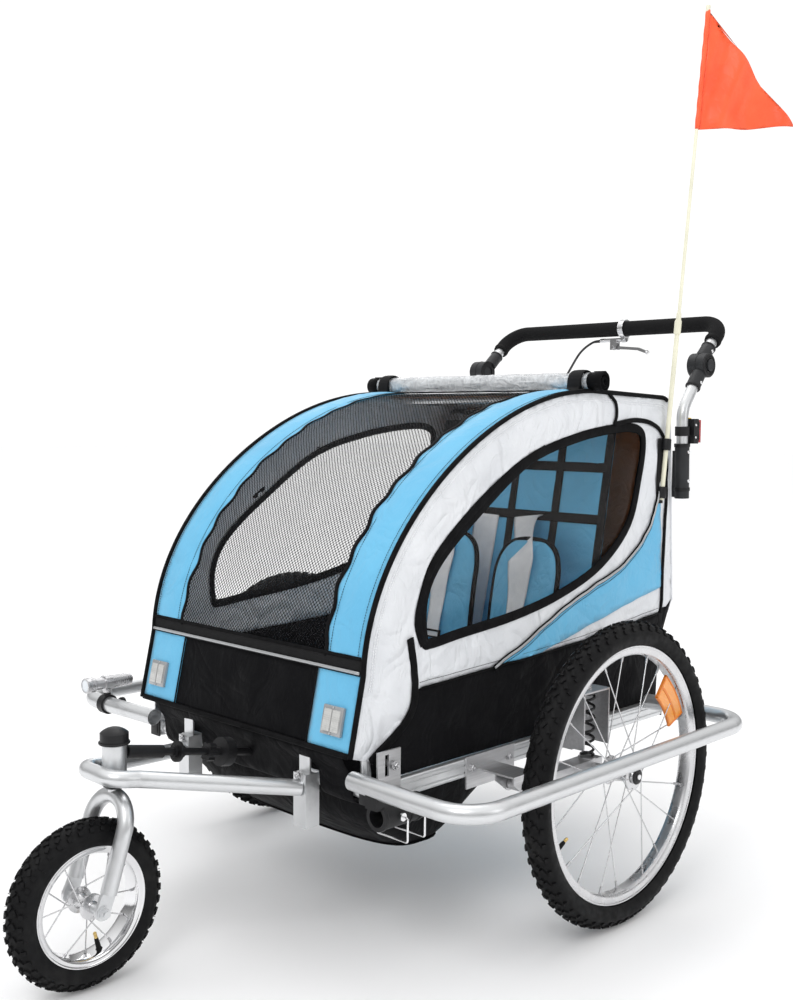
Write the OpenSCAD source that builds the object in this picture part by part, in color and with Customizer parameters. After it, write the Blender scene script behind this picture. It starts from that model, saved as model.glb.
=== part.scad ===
// Child bicycle trailer and jogger: tube frame, fabric cabin, two sprung rear wheels,
// one swivelling front wheel and a tilting push handle.
// X is across (+X is the left side), -Y is forward, +Z is up, the ground is at Z = 0.
// Places are measured from the point on the ground under the rear axle.

/* [Rear wheels] */
// Radius of a rear tyre over the tread
rear_tyre_r = 252; // [200:1:300]
// Width of a rear tyre
rear_tyre_w = 46; // [30:1:60]
// Distance from the middle plane to a rear wheel's plane
rear_track = 420; // [410:1:440]
// Spokes in a rear wheel
rear_spokes = 20; // [12:4:36]
// Radius of the rear axle
axle_r = 6; // [5:0.5:7]

/* [Front wheel] */
// Radius of the front tyre over the tread
front_tyre_r = 125; // [105:1:135]
// Width of the front tyre
front_tyre_w = 48; // [30:1:50]
// Distance from the rear axle forward to the swivel axis
swivel_ahead = 695; // [675:1:760]
// Distance of the front axle ahead of the swivel axis
fork_rake = 50; // [35:1:60]
// Distance from the middle plane to a fork leg
fork_half = 45; // [44:1:55]
// Spokes in the front wheel
front_spokes = 12; // [8:4:20]

/* [Chassis] */
// Width of a side rail
rail_w = 26; // [20:1:30]
// Height of a side rail
rail_h = 30; // [24:1:34]
// Height of the side rails' middle above the ground
rail_z = 278; // [270:1:285]
// Reach of the side rails behind the rear axle
rail_back = 340; // [320:1:345]
// Reach of the side rails ahead of the rear axle
rail_front = 440; // [430:1:445]
// Radius of the chassis cross tubes
cross_r = 12.5; // [9:0.5:13]
// Radius of the bumper tubes
bumper_r = 14; // [10:0.5:16]
// Distance from the middle plane to a bumper's outer run
bumper_x = 490; // [485:1:520]
// Height of the bumper tubes' middle
bumper_z = 300; // [298:1:310]
// Bend radius of the bumper tubes
bumper_bend = 60; // [45:1:75]

/* [Suspension] */
// Distance from the rear axle forward to the swing arms' pivots
pivot_ahead = 185; // [150:1:200]
// Coils in a suspension spring
spring_turns = 7; // [4:1:9]
// Radius of a suspension spring over its wire
spring_r = 13; // [10:0.5:14]
// Height of a spring housing's top
housing_top = 380; // [370:1:400]

/* [Cabin] */
// Distance from the middle plane to a side panel's inner face
cabin_half = 265; // [250:1:270]
// Height of the cabin roof
roof_z = 883; // [800:1:950]
// Reach of the cabin's curved front ahead of the roof's crown
nose_len = 566; // [540:1:580]
// Distance of the roof's crown behind the rear axle
crown_y = 120; // [100:1:130]
// Height at which the curved front meets the apron
belt_z = 455; // [445:1:480]
// Thickness of the side panels
panel_t = 3; // [2:0.5:4]
// Thickness of the covers
cover_t = 2; // [1.5:0.5:3]
// Radius of the hoop tubes in the cabin
hoop_r = 8; // [6:0.5:10]
// Lowest point of the footwell
bag_z = 138; // [110:1:170]

/* [Handle] */
// Distance of the handle joints behind the rear axle
joint_y = 460; // [445:1:480]
// Height of the handle joints
joint_z = 941; // [920:1:960]
// Distance of the handle bar behind its joints
bar_back = 100; // [90:1:120]
// Height of the handle bar above its joints
bar_up = 90; // [80:1:110]
// Radius of the handle tubes
handle_r = 11; // [9:0.5:12]
// Radius of the foam grip
grip_r = 16; // [14:0.5:19]

/* [Flag] */
// Height of the flag pole's top
flag_top = 1613; // [1400:1:1750]
// Height of the flag
flag_h = 224; // [150:1:260]
// Length of the flag
flag_len = 200; // [120:1:240]

/* [Hidden] */
$fn = 48;
rail_x = cabin_half + 5;                    // from the middle plane to a side rail
joint_x = cabin_half + 17;                  // and to a handle joint's seam
soft_gap = 0.3;          // clearance between a fabric piece and what it lies on
fit_gap = 0.05;          // running clearance of a shaft in its bore

clamp_t = 3;             // wall of the brake lever's clamp, the rearmost thing on the trailer
bar_y = joint_y + bar_back;
bar_z = joint_z + bar_up;
nose_y = -swivel_ahead - fork_rake - front_tyre_r;
tail_y = bar_y + grip_r + clamp_t;
origin_shift = -(nose_y + tail_y) / 2;      // puts the middle of the length at Y = 0

// ---- general shapes -------------------------------------------------------------------

function unit(v) = v / norm(v);
function reversed(list) = [for (i = [len(list) - 1:-1:0]) list[i]];

module both_sides() { children(); mirror([1, 0, 0]) children(); }

// a profile drawn in (Y, Z), extruded along +X from x0
module across(x0, width) translate([x0, 0, 0]) rotate([90, 0, 90]) linear_extrude(width) children();

// turns +Z to point along v
module along(v) rotate([0, acos(v.z / norm(v)), atan2(v.y, v.x)]) children();

module rod(a, b, r) translate(a) along(b - a) cylinder(r = r, h = norm(b - a));
module x_rod(x0, x1, y, z, r) rod([x0, y, z], [x1, y, z], r);

// A round tube along straight runs joined by bends of one radius. The bends are a hair fuller
// than the runs, which reach a little way into them, so that the two join as one solid.
bend_swell = 0.05;
run_lap = 1;
module bent_tube(path, r, bend) {
  last = len(path) - 1;
  function turn(i) = i <= 0 || i >= last ? 0
    : acos(min(1, unit(path[i] - path[i - 1]) * unit(path[i + 1] - path[i])));
  function tangent(i) = bend * tan(turn(i) / 2);
  for (i = [0:last - 1]) {
    run = unit(path[i + 1] - path[i]);
    rod(path[i] + run * (tangent(i) - (i > 0 ? run_lap : 0)),
        path[i + 1] - run * (tangent(i + 1) - (i < last - 1 ? run_lap : 0)), r);
  }
  for (i = [1:1:last - 1]) {
    into = unit(path[i] - path[i - 1]);
    out = unit(path[i + 1] - path[i]);
    centre = path[i] + unit(out - into) * bend / cos(turn(i) / 2);
    ax = unit(path[i] - into * tangent(i) - centre);
    az = cross(ax, into);
    multmatrix([[ax.x, into.x, az.x, centre.x], [ax.y, into.y, az.y, centre.y],
                [ax.z, into.z, az.z, centre.z], [0, 0, 0, 1]])
      rotate_extrude(angle = turn(i)) translate([bend, 0]) circle(r + bend_swell);
  }
}

// a tube of flat facets along any smooth row of points, none of which runs along ref
module swept_tube(points, r, sides, ref = [1, 0, 0]) {
  n = len(points);
  function ahead(i) = unit(points[min(i + 1, n - 1)] - points[max(i - 1, 0)]);
  function side(d) = unit(cross(d, ref));
  rings = [for (i = [0:n - 1]) let (d = ahead(i), u = side(d), v = cross(d, u))
    for (k = [0:sides - 1]) points[i] + r * (cos(360 * k / sides) * u + sin(360 * k / sides) * v)];
  walls = [for (i = [0:n - 2], k = [0:sides - 1], half = [0, 1]) let (m = (k + 1) % sides)
    half == 0 ? [i * sides + k, (i + 1) * sides + k, (i + 1) * sides + m]
              : [i * sides + k, (i + 1) * sides + m, i * sides + m]];
  ends = [[for (k = [0:sides - 1]) k], [for (k = [sides - 1:-1:0]) (n - 1) * sides + k]];
  polyhedron(rings, concat(walls, ends));
}

// points of a smooth curve through a row of chosen points
function smooth(p, steps) = concat([for (i = [0:len(p) - 2], s = [0:steps - 1])
  let (a = p[max(i - 1, 0)], b = p[i], c = p[i + 1], d = p[min(i + 2, len(p) - 1)], t = s / steps)
  0.5 * (2 * b + (c - a) * t + (2 * a - 5 * b + 4 * c - d) * t * t
    + (3 * b - a - 3 * c + d) * t * t * t)], [p[len(p) - 1]]);

// ---- chassis --------------------------------------------------------------------------

rail_out = rail_x + rail_w / 2;
rail_in = rail_x - rail_w / 2;
rail_top = rail_z + rail_h / 2;
rail_low = rail_z - rail_h / 2;
groove = 3;
front_cross_y = -rail_front + cross_r + 2;
mid_cross_y = -20;
rear_cross_y = rail_back - cross_r - 2;
hoop_x = cabin_half - soft_gap - hoop_r;

module side_rails() color("silver") both_sides()
  translate([rail_x, rail_back, rail_z]) rotate([90, 0, 0]) linear_extrude(rail_back + rail_front)
    difference() {
      offset(5) square([rail_w - 10, rail_h - 10], center = true);
      square([rail_w - 12, rail_h - 6], center = true);
      for (z = [-rail_h / 5, rail_h / 5]) translate([rail_w / 2, z]) circle(groove / 2);
    }

cable_stop = [-99, 350];           // where the brake cable ends behind the rear cross tube
module cross_tubes() color("silver") {
  for (y = [front_cross_y, mid_cross_y, rear_cross_y]) x_rod(-rail_in, rail_in, y, rail_z, cross_r);
  rod([cable_stop.x, cable_stop.y, rail_z - 8], [cable_stop.x, cable_stop.y, rail_z + 8], 5);
  translate([cable_stop.x - 3, rear_cross_y, rail_z - 4]) cube([6, cable_stop.y - rear_cross_y, 8]);
}

bumper_front_y = -460;
bumper_back_y = rear_tyre_r + 36;
bumper_end_x = rail_x - 15;
bumper_set = 5.3;                  // how far back its inner end lies, just ahead of the rail
module bumper() difference() {
  bent_tube([[bumper_end_x, bumper_front_y + bumper_set, bumper_z], [370, bumper_front_y, bumper_z],
             [bumper_x, bumper_front_y, bumper_z], [bumper_x, bumper_back_y, bumper_z],
             [rail_out + 0.5, bumper_back_y, bumper_z]], bumper_r, bumper_bend);
  translate([bumper_end_x, bumper_front_y + bumper_set, bumper_z])
    along([370 - bumper_end_x, -bumper_set, 0])
    translate([0, 0, -1]) cylinder(r = bumper_r - 2, h = 25);
}
module left_bumper() color("silver") bumper();
module right_bumper() color("silver") mirror([1, 0, 0]) bumper();

// pressed plates on the outer faces of the rails: the front corners, the swing arms' clevises
// and the brackets that hold the spring housings
plate_t = 3;
pivot_z = 256;
arm_x = rear_track - 70;
arm_w = 30;
pivot_bolt_r = 5;
ear_in = arm_x - arm_w / 2 - 1;
ear_out = arm_x + arm_w / 2 + 1;
module corner_bracket() difference() {
  union() {
    across(rail_out, plate_t) translate([-433, rail_low]) square([48, 80]);
    x_rod(cabin_half + panel_t + soft_gap, rail_out + plate_t + 4, -400, rail_top + 26, 5);
  }
  across(rail_out - 1, plate_t + 2) for (z = [rail_top + 12, rail_top + 20]) translate([-418, z])
    square([8, 24]);
}
module pivot_clevis() {
  across(rail_out, plate_t) difference() {
    translate([-pivot_ahead - 50, rail_low - 18]) square([120, rail_h + 22]);
    for (y = [-pivot_ahead - 38, -pivot_ahead + 56]) translate([y, rail_z]) circle(3);
  }
  translate([rail_out, -pivot_ahead - 34, pivot_z + 20])
    cube([ear_out + plate_t - rail_out, 50, plate_t]);
  for (x = [ear_in - plate_t, ear_out]) across(x, plate_t) hull() {
    translate([-pivot_ahead, pivot_z]) circle(12);
    translate([-pivot_ahead - 34, pivot_z + 10]) square([50, 12]);
  }
  x_rod(ear_in - 6, ear_out + plate_t + 4, -pivot_ahead, pivot_z, pivot_bolt_r);
}
module housing_bracket() translate([rail_out, -18, rail_z - 2])
  cube([housing_in - rail_out, 36, 16]);
module frame_brackets() color("gainsboro") both_sides() {
  corner_bracket();
  pivot_clevis();
  housing_bracket();
}

// ---- suspension -----------------------------------------------------------------------

axle_z = rear_tyre_r;
housing_in = arm_x - 18;
housing_out = arm_x + 18;
housing_front = -35;
housing_back = 38;
housing_low = axle_z + 32;
seat_z = axle_z + 13;                 // top of the arm, where the spring stands
wire_r = 1.8;

module spring_housing() difference() {
  translate([housing_in, housing_front, housing_low])
    cube([housing_out - housing_in, housing_back - housing_front, housing_top - housing_low]);
  translate([housing_in + plate_t, housing_front + plate_t, housing_low - 1])
    cube([60, housing_back - housing_front - 2 * plate_t, housing_top - housing_low + 1 - plate_t]);
}
module spring_housings() color("silver") both_sides() spring_housing();

module swing_arm() difference() {
  union() {
    across(arm_x - arm_w / 2, arm_w) hull() {
      translate([-pivot_ahead, pivot_z]) circle(9);
      translate([-pivot_ahead + 40, pivot_z - 9]) square([1, 18]);
    }
    translate([arm_x - arm_w / 2, -pivot_ahead + 38, axle_z - 8])
      cube([arm_w, pivot_ahead - 38 + 24, seat_z - axle_z + 6]);
    x_rod(arm_x - arm_w / 2, arm_x + arm_w / 2, 0, axle_z, 11);
    x_rod(arm_x, rear_track + 32, 0, axle_z, axle_r);
    translate([arm_x, 1, seat_z - 4]) cylinder(r = 15, h = 4);
  }
  x_rod(arm_x - arm_w, arm_x + arm_w, -pivot_ahead, pivot_z, pivot_bolt_r + fit_gap);
}
module left_swing_arm() color("gainsboro") swing_arm();
module right_swing_arm() color("gainsboro") mirror([1, 0, 0]) swing_arm();

module spring() {
  low = seat_z + wire_r + 0.2;
  high = housing_top - plate_t - wire_r - 0.2;
  steps = 14;
  swept_tube([for (i = [0:spring_turns * steps]) let (a = 360 * i / steps, t = i / (spring_turns * steps))
    [arm_x + (spring_r - wire_r) * cos(a), 1 + (spring_r - wire_r) * sin(a), low + (high - low) * t]],
    wire_r, 6, [0, 0, 1]);
}
module left_spring() color("black") spring();
module right_spring() color("black") mirror([1, 0, 0]) spring();

// ---- wheels ---------------------------------------------------------------------------

// parts of a wheel are drawn about the X axis
module about_x() rotate([0, 90, 0]) children();

module tyre_ring(r, w, rim_r) about_x() rotate_extrude($fn = 96) difference() {
  translate([r - w / 2, 0]) circle(w / 2);
  translate([r - w / 2, 0]) circle(w / 2 - 4);
  translate([rim_r - 40, -w]) square([40, 2 * w]);
  for (x = [-w / 8, w / 8]) translate([r, x]) square([2.4, 2], center = true);
}
module rim_ring(r, w, depth) about_x() rotate_extrude($fn = 96) difference() {
  translate([r - depth, -w / 2]) square([depth, w]);
  translate([r - depth + 2, -w / 2 + 2]) square([depth, w - 4]);
  for (s = [-1, 1]) translate([r - depth, s * w / 2]) rotate(s * 30) square([14, 4], center = true);
}
// laced in crossing pairs, which pass each other spoke_step apart
spoke_step = 1.3;
module spoke_set(count, hub_r, rim_r, flange, lean, r = 1) for (i = [0:count - 1]) {
  s = i % 2 == 0 ? 1 : -1;
  t = floor(i / 2) % 2 == 0 ? 1 : -1;
  a = 360 * i / count;
  b = a + t * lean;
  rod([s * flange + t * spoke_step, hub_r * cos(b), hub_r * sin(b)],
      [s * 4 + t * spoke_step, rim_r * cos(a), rim_r * sin(a)], r);
}
module hub_shell(flange, flange_r, barrel_r, bore_r) difference() {
  union() {
    x_rod(-flange - 6, flange + 6, 0, 0, barrel_r * 0.8);
    x_rod(-flange, flange, 0, 0, barrel_r);
    for (s = [-1, 1]) x_rod(s * flange - 1.5, s * flange + 1.5, 0, 0, flange_r);
  }
  x_rod(-flange - 9, flange + 9, 0, 0, bore_r);
}

rear_rim_r = rear_tyre_r - 40;
rear_rim_w = 28;
rear_rim_depth = 16;
rear_flange = 23;
rear_flange_r = 24;
module left_wheel() translate([rear_track, 0, axle_z]) children();
module right_wheel() translate([-rear_track, 0, axle_z]) children();
module rear_tyre() tyre_ring(rear_tyre_r, rear_tyre_w, rear_rim_r + 0.3);
module rear_rim() rim_ring(rear_rim_r, rear_rim_w, rear_rim_depth);
module rear_spoke_set(r) spoke_set(rear_spokes, rear_flange_r + 1.1,
  rear_rim_r - rear_rim_depth - 0.4, rear_flange, 40, r);
module rear_hub() {
  hub_shell(rear_flange, rear_flange_r, 14, axle_r + fit_gap);
  rear_spoke_set(1);
}
// a curved plate that clips onto the spokes
module spoke_reflector() difference() {
  across(1.8, 5) difference() {
    intersection() {
      circle(rear_rim_r - rear_rim_depth - 6);
      rotate(36 - 14) square(rear_rim_r);
      rotate(36 + 14 - 90) square(rear_rim_r);
    }
    circle(rear_rim_r - rear_rim_depth - 52);
  }
  rear_spoke_set(1 + fit_gap);
}
module left_tyre() color("dimgray") left_wheel() rear_tyre();
module left_rim() color("silver") left_wheel() rear_rim();
module left_hub() color("gainsboro") left_wheel() rear_hub();
module left_spoke_reflector() color("orange") left_wheel() spoke_reflector();
module right_tyre() color("dimgray") right_wheel() rear_tyre();
module right_rim() color("silver") right_wheel() rear_rim();
module right_hub() color("gainsboro") right_wheel() mirror([1, 0, 0]) rear_hub();
module right_spoke_reflector() color("orange") right_wheel() mirror([1, 0, 0]) spoke_reflector();

// ---- swivelling front wheel -----------------------------------------------------------

front_rim_r = front_tyre_r - 37;
front_rim_w = 40;
front_rim_depth = 12;
front_flange = 17;
front_flange_r = 19;
front_axle_r = 5;
front_axle_y = -swivel_ahead - fork_rake;
swivel_y = -swivel_ahead;
head_low = 304;
head_high = 352;
head_r = 18;
steerer_r = 10;
fork_tube_r = 12;
cup_h = 18;
crown_z = head_low - cup_h - 0.5;    // top of the fork's arch

module front_wheel() translate([0, front_axle_y, front_tyre_r]) children();
module front_tyre() color("dimgray") front_wheel() tyre_ring(front_tyre_r, front_tyre_w, front_rim_r + 0.3);
module front_rim() color("gainsboro") front_wheel() rim_ring(front_rim_r, front_rim_w, front_rim_depth);
module front_hub() color("gainsboro") front_wheel() {
  hub_shell(front_flange, front_flange_r, 10, front_axle_r + fit_gap);
  spoke_set(front_spokes, front_flange_r + 1.1, front_rim_r - front_rim_depth - 0.4, front_flange,
            40);
}

module fork() color("silver") {
  drop = unit([0, -fork_rake, -(crown_z - fork_half - front_tyre_r)]);
  leg_end = [fork_half, front_axle_y, front_tyre_r] - drop * 26;
  bent_tube([[leg_end.x, leg_end.y, leg_end.z], [fork_half, swivel_y, crown_z - fork_tube_r],
             [-fork_half, swivel_y, crown_z - fork_tube_r], [-leg_end.x, leg_end.y, leg_end.z]],
            fork_tube_r, fork_half - 1);
  // flattened drop-outs
  both_sides() across(fork_half - 3, 6) hull() {
    translate([front_axle_y, front_tyre_r]) circle(12);
    translate([leg_end.y, leg_end.z]) circle(11);
  }
  rod([0, swivel_y, crown_z - fork_tube_r], [0, swivel_y, head_high + 8], steerer_r);
  // axle, nuts and washers
  x_rod(-fork_half - 14, fork_half + 14, front_axle_y, front_tyre_r, front_axle_r);
  both_sides() {
    x_rod(fork_half + 3, fork_half + 5, front_axle_y, front_tyre_r, 10);
    translate([fork_half + 5, front_axle_y, front_tyre_r]) about_x() cylinder(r = 8, h = 6, $fn = 6);
    x_rod(front_flange + 6.5, fork_half - 3, front_axle_y, front_tyre_r, 7.5);
  }
}

module head_tube() color("silver") difference() {
  rod([0, swivel_y, head_low], [0, swivel_y, head_high], head_r);
  rod([0, swivel_y, head_low - 1], [0, swivel_y, head_high + 1], steerer_r + fit_gap);
}
// the domed cap on the head tube and the cup under it
dome_h = 24;
module head_caps() color("black") translate([0, swivel_y, 0]) {
  difference() {
    translate([0, 0, head_high]) rotate_extrude() intersection() {
      union() {
        square([head_r + 3.5, 9]);
        translate([0, dome_h - 30]) circle(30);
      }
      square([head_r + 3, dome_h]);
    }
    translate([0, 0, head_high - 1]) cylinder(r = steerer_r + 3, h = 12);
  }
  difference() {
    translate([0, 0, head_low - cup_h]) rotate_extrude()
      polygon([[0, 0], [head_r - 4, 0], [head_r + 1, 5], [head_r + 3, 12], [head_r + 3, cup_h],
               [0, cup_h]]);
    translate([0, 0, head_low - cup_h - 1]) cylinder(r = steerer_r + fit_gap, h = cup_h + 2);
  }
}

// the U-shaped tube that carries the head tube, with its two square bracket posts
arm_tube_r = 12.5;
post_x = 150;
post_side = 28;
post_y = front_cross_y - cross_r - post_side / 2;
post_low = 207;
module front_arm() color("silver") {
  nose = head_r + arm_tube_r;
  difference() {
    bent_tube([[post_x, post_y - post_side / 2 + 2, 268], [48, swivel_y + 10, 306],
               [40, swivel_y - nose + 1, 312], [-40, swivel_y - nose + 1, 312],
               [-48, swivel_y + 10, 306], [-post_x, post_y - post_side / 2 + 2, 268]],
              arm_tube_r, 26);
    rod([0, swivel_y, 250], [0, swivel_y, 350], head_r);
  }
  both_sides() difference() {
    translate([post_x - post_side / 2, post_y - post_side / 2, post_low])
      cube([post_side, post_side, rail_z + cross_r - post_low]);
    translate([post_x - post_side / 2 + 2, post_y - post_side / 2 + 2, post_low - 1])
      cube([post_side - 4, post_side - 4, 61]);
  }
  both_sides() translate([post_x - 12, post_y - 4, rail_z + cross_r]) cube([24, 3, 30]);
}

// the stay between the head tube and the front cross tube, with its clamp knob
stay_front = [0, swivel_y + head_r - 3, 336];
stay_back = [0, front_cross_y - cross_r, 288];
function stay_at(t) = stay_front + (stay_back - stay_front) * t;
knob_at = 0.62;
module stay_tube() color("black") difference() {
  union() {
    rod(stay_front, stay_back, 6);
    rod(stay_at(0.02), stay_at(0.28), 10);
    rod(stay_at(0.385), stay_at(0.405), 16);
    rod(stay_at(0.36), stay_at(0.44), 9);
    rod(stay_at(0.73), stay_at(0.8), 23);
  }
  rod([0, swivel_y, 250], [0, swivel_y, 400], head_r);
  x_rod(-60, 60, front_cross_y, rail_z, cross_r);
}
module stay_knob() color("black") difference() {
  translate(stay_at(knob_at)) along(stay_back - stay_front) difference() {
    cylinder(r = 15, h = 12);
    for (a = [0:60:300]) rotate(a) translate([17, 0, -1]) cylinder(r = 5, h = 14);
  }
  rod(stay_front, stay_back, 6 + fit_gap);
}

// ---- tow receiver and its safety pins -------------------------------------------------

receiver_x = rail_x + 38;
receiver_z = 258;
receiver_mouth = -456;
receiver_len = 86;
receiver_r = 20;
receiver_bore = 14;
sleeve_len = 20;                // the mouth's close sleeve; behind it the bore is relieved
tow_pin_r = 4;
front_pin_y = receiver_mouth + 30;
rear_pin_y = receiver_mouth + 66;
module tow_receiver() color("black") difference() {
  union() {
    rod([receiver_x, receiver_mouth, receiver_z],
        [receiver_x, receiver_mouth + receiver_len, receiver_z], receiver_r);
    translate([receiver_x - 12, receiver_mouth - 12, receiver_z + 14]) cube([24, 24, 22]);
    translate([rail_out + plate_t, receiver_mouth + 34, receiver_z])
      cube([receiver_x - rail_out - plate_t, 48, 6]);
  }
  rod([receiver_x, receiver_mouth - 1, receiver_z],
      [receiver_x, receiver_mouth + sleeve_len + 1, receiver_z], receiver_bore);
  rod([receiver_x, receiver_mouth + sleeve_len, receiver_z],
      [receiver_x, receiver_mouth + receiver_len - 8, receiver_z], receiver_bore + 2);
  x_rod(rail_out, receiver_x + 60, front_pin_y, receiver_z, tow_pin_r + fit_gap);
  x_rod(rail_out, receiver_x + 60, rear_pin_y, receiver_z, tow_pin_r + fit_gap);
  rod([bumper_end_x, bumper_front_y + bumper_set, bumper_z], [370, bumper_front_y, bumper_z],
      bumper_r + fit_gap);
}
module tow_pin(y) {
  reach = receiver_r + 5;
  drop = receiver_r + 16;
  x_rod(receiver_x - reach + 1.6, receiver_x + reach, y, receiver_z, tow_pin_r);
  x_rod(receiver_x + receiver_r + 1, receiver_x + reach, y, receiver_z, 6);
  bent_tube([[receiver_x + reach - 2, y, receiver_z], [receiver_x + reach + 8, y, receiver_z],
             [receiver_x + reach + 8, y, receiver_z - drop], [receiver_x - reach - 4, y, receiver_z - drop],
             [receiver_x - reach - 4, y, receiver_z], [receiver_x - reach + 1.6, y, receiver_z]],
            1.5, 3.5);
}
module front_tow_pin() color("gainsboro") tow_pin(front_pin_y);
module rear_tow_pin() color("gainsboro") tow_pin(rear_pin_y);

// ---- cabin frame ----------------------------------------------------------------------

nose_z = 440;                       // height where the curved front stands upright
nose_sag = 11;                      // how far the taut cloth flattens the curve halfway up
apron_low = [-471, 338];            // (Y, Z) of the apron's lower edge
rear_low = [396, 480];              // (Y, Z) of the rear panel's fullest point
rear_foot = [rail_back + 2.3, rail_top + 0.3];
corner_c = [344, 846];              // centre of the roof's rear corner
corner_r = roof_z - 7 - corner_c.y;
function nose(t, inset) = let (in = inset + nose_sag * pow(sin(2 * t), 2))
  [crown_y - (nose_len - in) * cos(t), nose_z + (roof_z - nose_z - in) * sin(t)];
function rear_corner(inset) = [for (a = [85:-15:-5]) corner_c + (corner_r - inset) * [cos(a), sin(a)]];
function rear_side(inset) = [rear_low - [inset, 0], rear_foot + [0, 100] - [inset - 6, 0],
                             rear_foot - [inset, 0]];
belt_t = asin((belt_z - nose_z) / (roof_z - nose_z));

hoop_inset = cover_t + soft_gap + hoop_r;
hoop_path = concat(
  [[-rail_front + hoop_r + 4, rail_top + soft_gap], [-rail_front + 7, nose_z - 70]],
  [for (t = [2:8:90]) nose(t, hoop_inset)], rear_corner(hoop_inset),
  [rear_low + [-11.6, 1], rear_foot + [-5, 101.2], rear_foot + [-12, 40], rear_foot + [-12, 0]]);
module side_hoops() color("silver") both_sides()
  swept_tube([for (q = hoop_path) [hoop_x, q.x, q.y]], hoop_r, 12);

module roof_bars() color("silver") {
  half = hoop_x - hoop_r - soft_gap;
  x_rod(-half, half, crown_y + 30, roof_z - hoop_inset - 2, hoop_r);
  x_rod(-half, half, rear_corner(hoop_inset)[0].x, rear_corner(hoop_inset)[0].y, hoop_r);
}

// ---- cabin fabric ---------------------------------------------------------------------

window_side = [[235, 812], [285, 799], [303, 768], [292, 700], [255, 640], [195, 592], [110, 550],
               [10, 522], [-100, 506], [-220, 497]];
function window_edge() = concat([for (t = [0:8:80]) [200 - 515 * cos(t), 490 + 320 * sin(t)]],
                                window_side);
pole_foot = [cabin_half + 11, 335, 680];
pole_top = [pole_foot.x + 24, 421, flag_top];
pole_dir = unit(pole_top - pole_foot);

module side_outline() polygon(concat([[-rail_front + 45, rail_top + soft_gap], apron_low],
  [for (t = [0:6:90]) nose(t, 0)], rear_corner(0), rear_side(0)));
module side_panel() difference() {
  across(cabin_half, panel_t) side_outline();
  across(cabin_half - 1, panel_t + 2) polygon(window_edge());
}
module left_side_panel() color("white") difference() {
  union() {
    side_panel();
    rod(pole_foot - pole_dir * 2, pole_foot + pole_dir * 26, pole_foot.x - cabin_half - panel_t + 0.2);
  }
  rod(pole_foot, pole_foot + pole_dir * 40, 4.5 + soft_gap);
}
module right_side_panel() color("white") mirror([1, 0, 0]) side_panel();
module side_windows() color("lightgray") both_sides()
  across(cabin_half - soft_gap - 1, 1) offset(5) polygon(window_edge());

// the cover over the front: mesh in the middle, a band of cloth along each hoop
cover_half = cabin_half - soft_gap;
module front_cover() color("skyblue") across(-cover_half, 2 * cover_half) polygon(concat(
  [for (t = [belt_t, for (a = [3:3:90]) a]) nose(t, 0)],
  reversed([for (t = [belt_t, for (a = [3:3:90]) a]) nose(t, cover_t)])));
module front_apron() color("black") {
  top = nose(belt_t, 0) - [0, 0.5];
  across(-cover_half, 2 * cover_half)
    polygon([top, apron_low, apron_low + [9, -12], apron_low + [11, -11], apron_low + [2, 1],
             top + [cover_t, 0]]);
}
module rear_panel() color("white") {
  outer = concat([[crown_y + soft_gap, roof_z]], rear_corner(0), rear_side(0));
  inner = concat([[crown_y + soft_gap, roof_z - cover_t]], rear_corner(cover_t), rear_side(cover_t));
  across(-cover_half, 2 * cover_half) polygon(concat(outer, reversed(inner)));
}

// the black floor with its hanging footwell
bag_front = front_cross_y + cross_r + soft_gap;
bag_back = mid_cross_y - cross_r - soft_gap;
floor_z = rail_z + cross_r + soft_gap;
module bag_form(wall) hull() {
  translate([-rail_in + soft_gap + wall, bag_front + wall, floor_z - 8])
    cube([2 * (rail_in - soft_gap - wall), bag_back - bag_front - 2 * wall, 11 + (wall > 0 ? 1 : 0)]);
  translate([-rail_in + 29 + wall, bag_front + wall, 225])
    cube([2 * (rail_in - 29 - wall), 60, 10]);
  translate([-rail_in + 52 + wall, -310 + wall, bag_z + wall])
    cube([2 * (rail_in - 52 - wall), 140 - 2 * wall, 12]);
}
module floor_bag() color("black") {
  difference() {
    bag_form(0);
    bag_form(3);
  }
  half = hoop_x - hoop_r - soft_gap;
  translate([-half, bag_back - 1, floor_z]) cube([2 * half, rail_back - 2 - bag_back + 1, 3]);
}

seat_half = hoop_x - hoop_r - 6;
seat_low = [204, floor_z + 3 + soft_gap];
seat_top = [309, 838];
seat_t = 14;
module seat() color("steelblue") across(-seat_half, 2 * seat_half) polygon([[-50, seat_low.y],
  [seat_low.x + seat_t, seat_low.y], seat_top, seat_top + [29.3, 23.7], seat_top + [22, 30],
  seat_top + [-seat_t + 2, 8],
  [seat_low.x, seat_low.y + 44], [-38, seat_low.y + 44], [-50, seat_low.y + 32]]);

// two shoulder belts with pads and one crotch pad for each child
child_x = 118;
belt_half = 46;
module harness() color("white") both_sides() {
  lean = atan2(seat_top.x - seat_t - seat_low.x, seat_top.y - seat_low.y - 44);
  translate([child_x, seat_low.x, seat_low.y + 44]) rotate([-lean, 0, 0]) for (s = [-1, 1]) {
    translate([s * belt_half - 13, -2 - soft_gap, 70]) cube([26, 2, 360]);
    translate([s * belt_half - 24, -12 - soft_gap, 120]) cube([48, 10.5, 150]);
  }
  translate([child_x - 28, 40, seat_low.y + 44 + soft_gap]) cube([56, 90, 10]);
}

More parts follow.
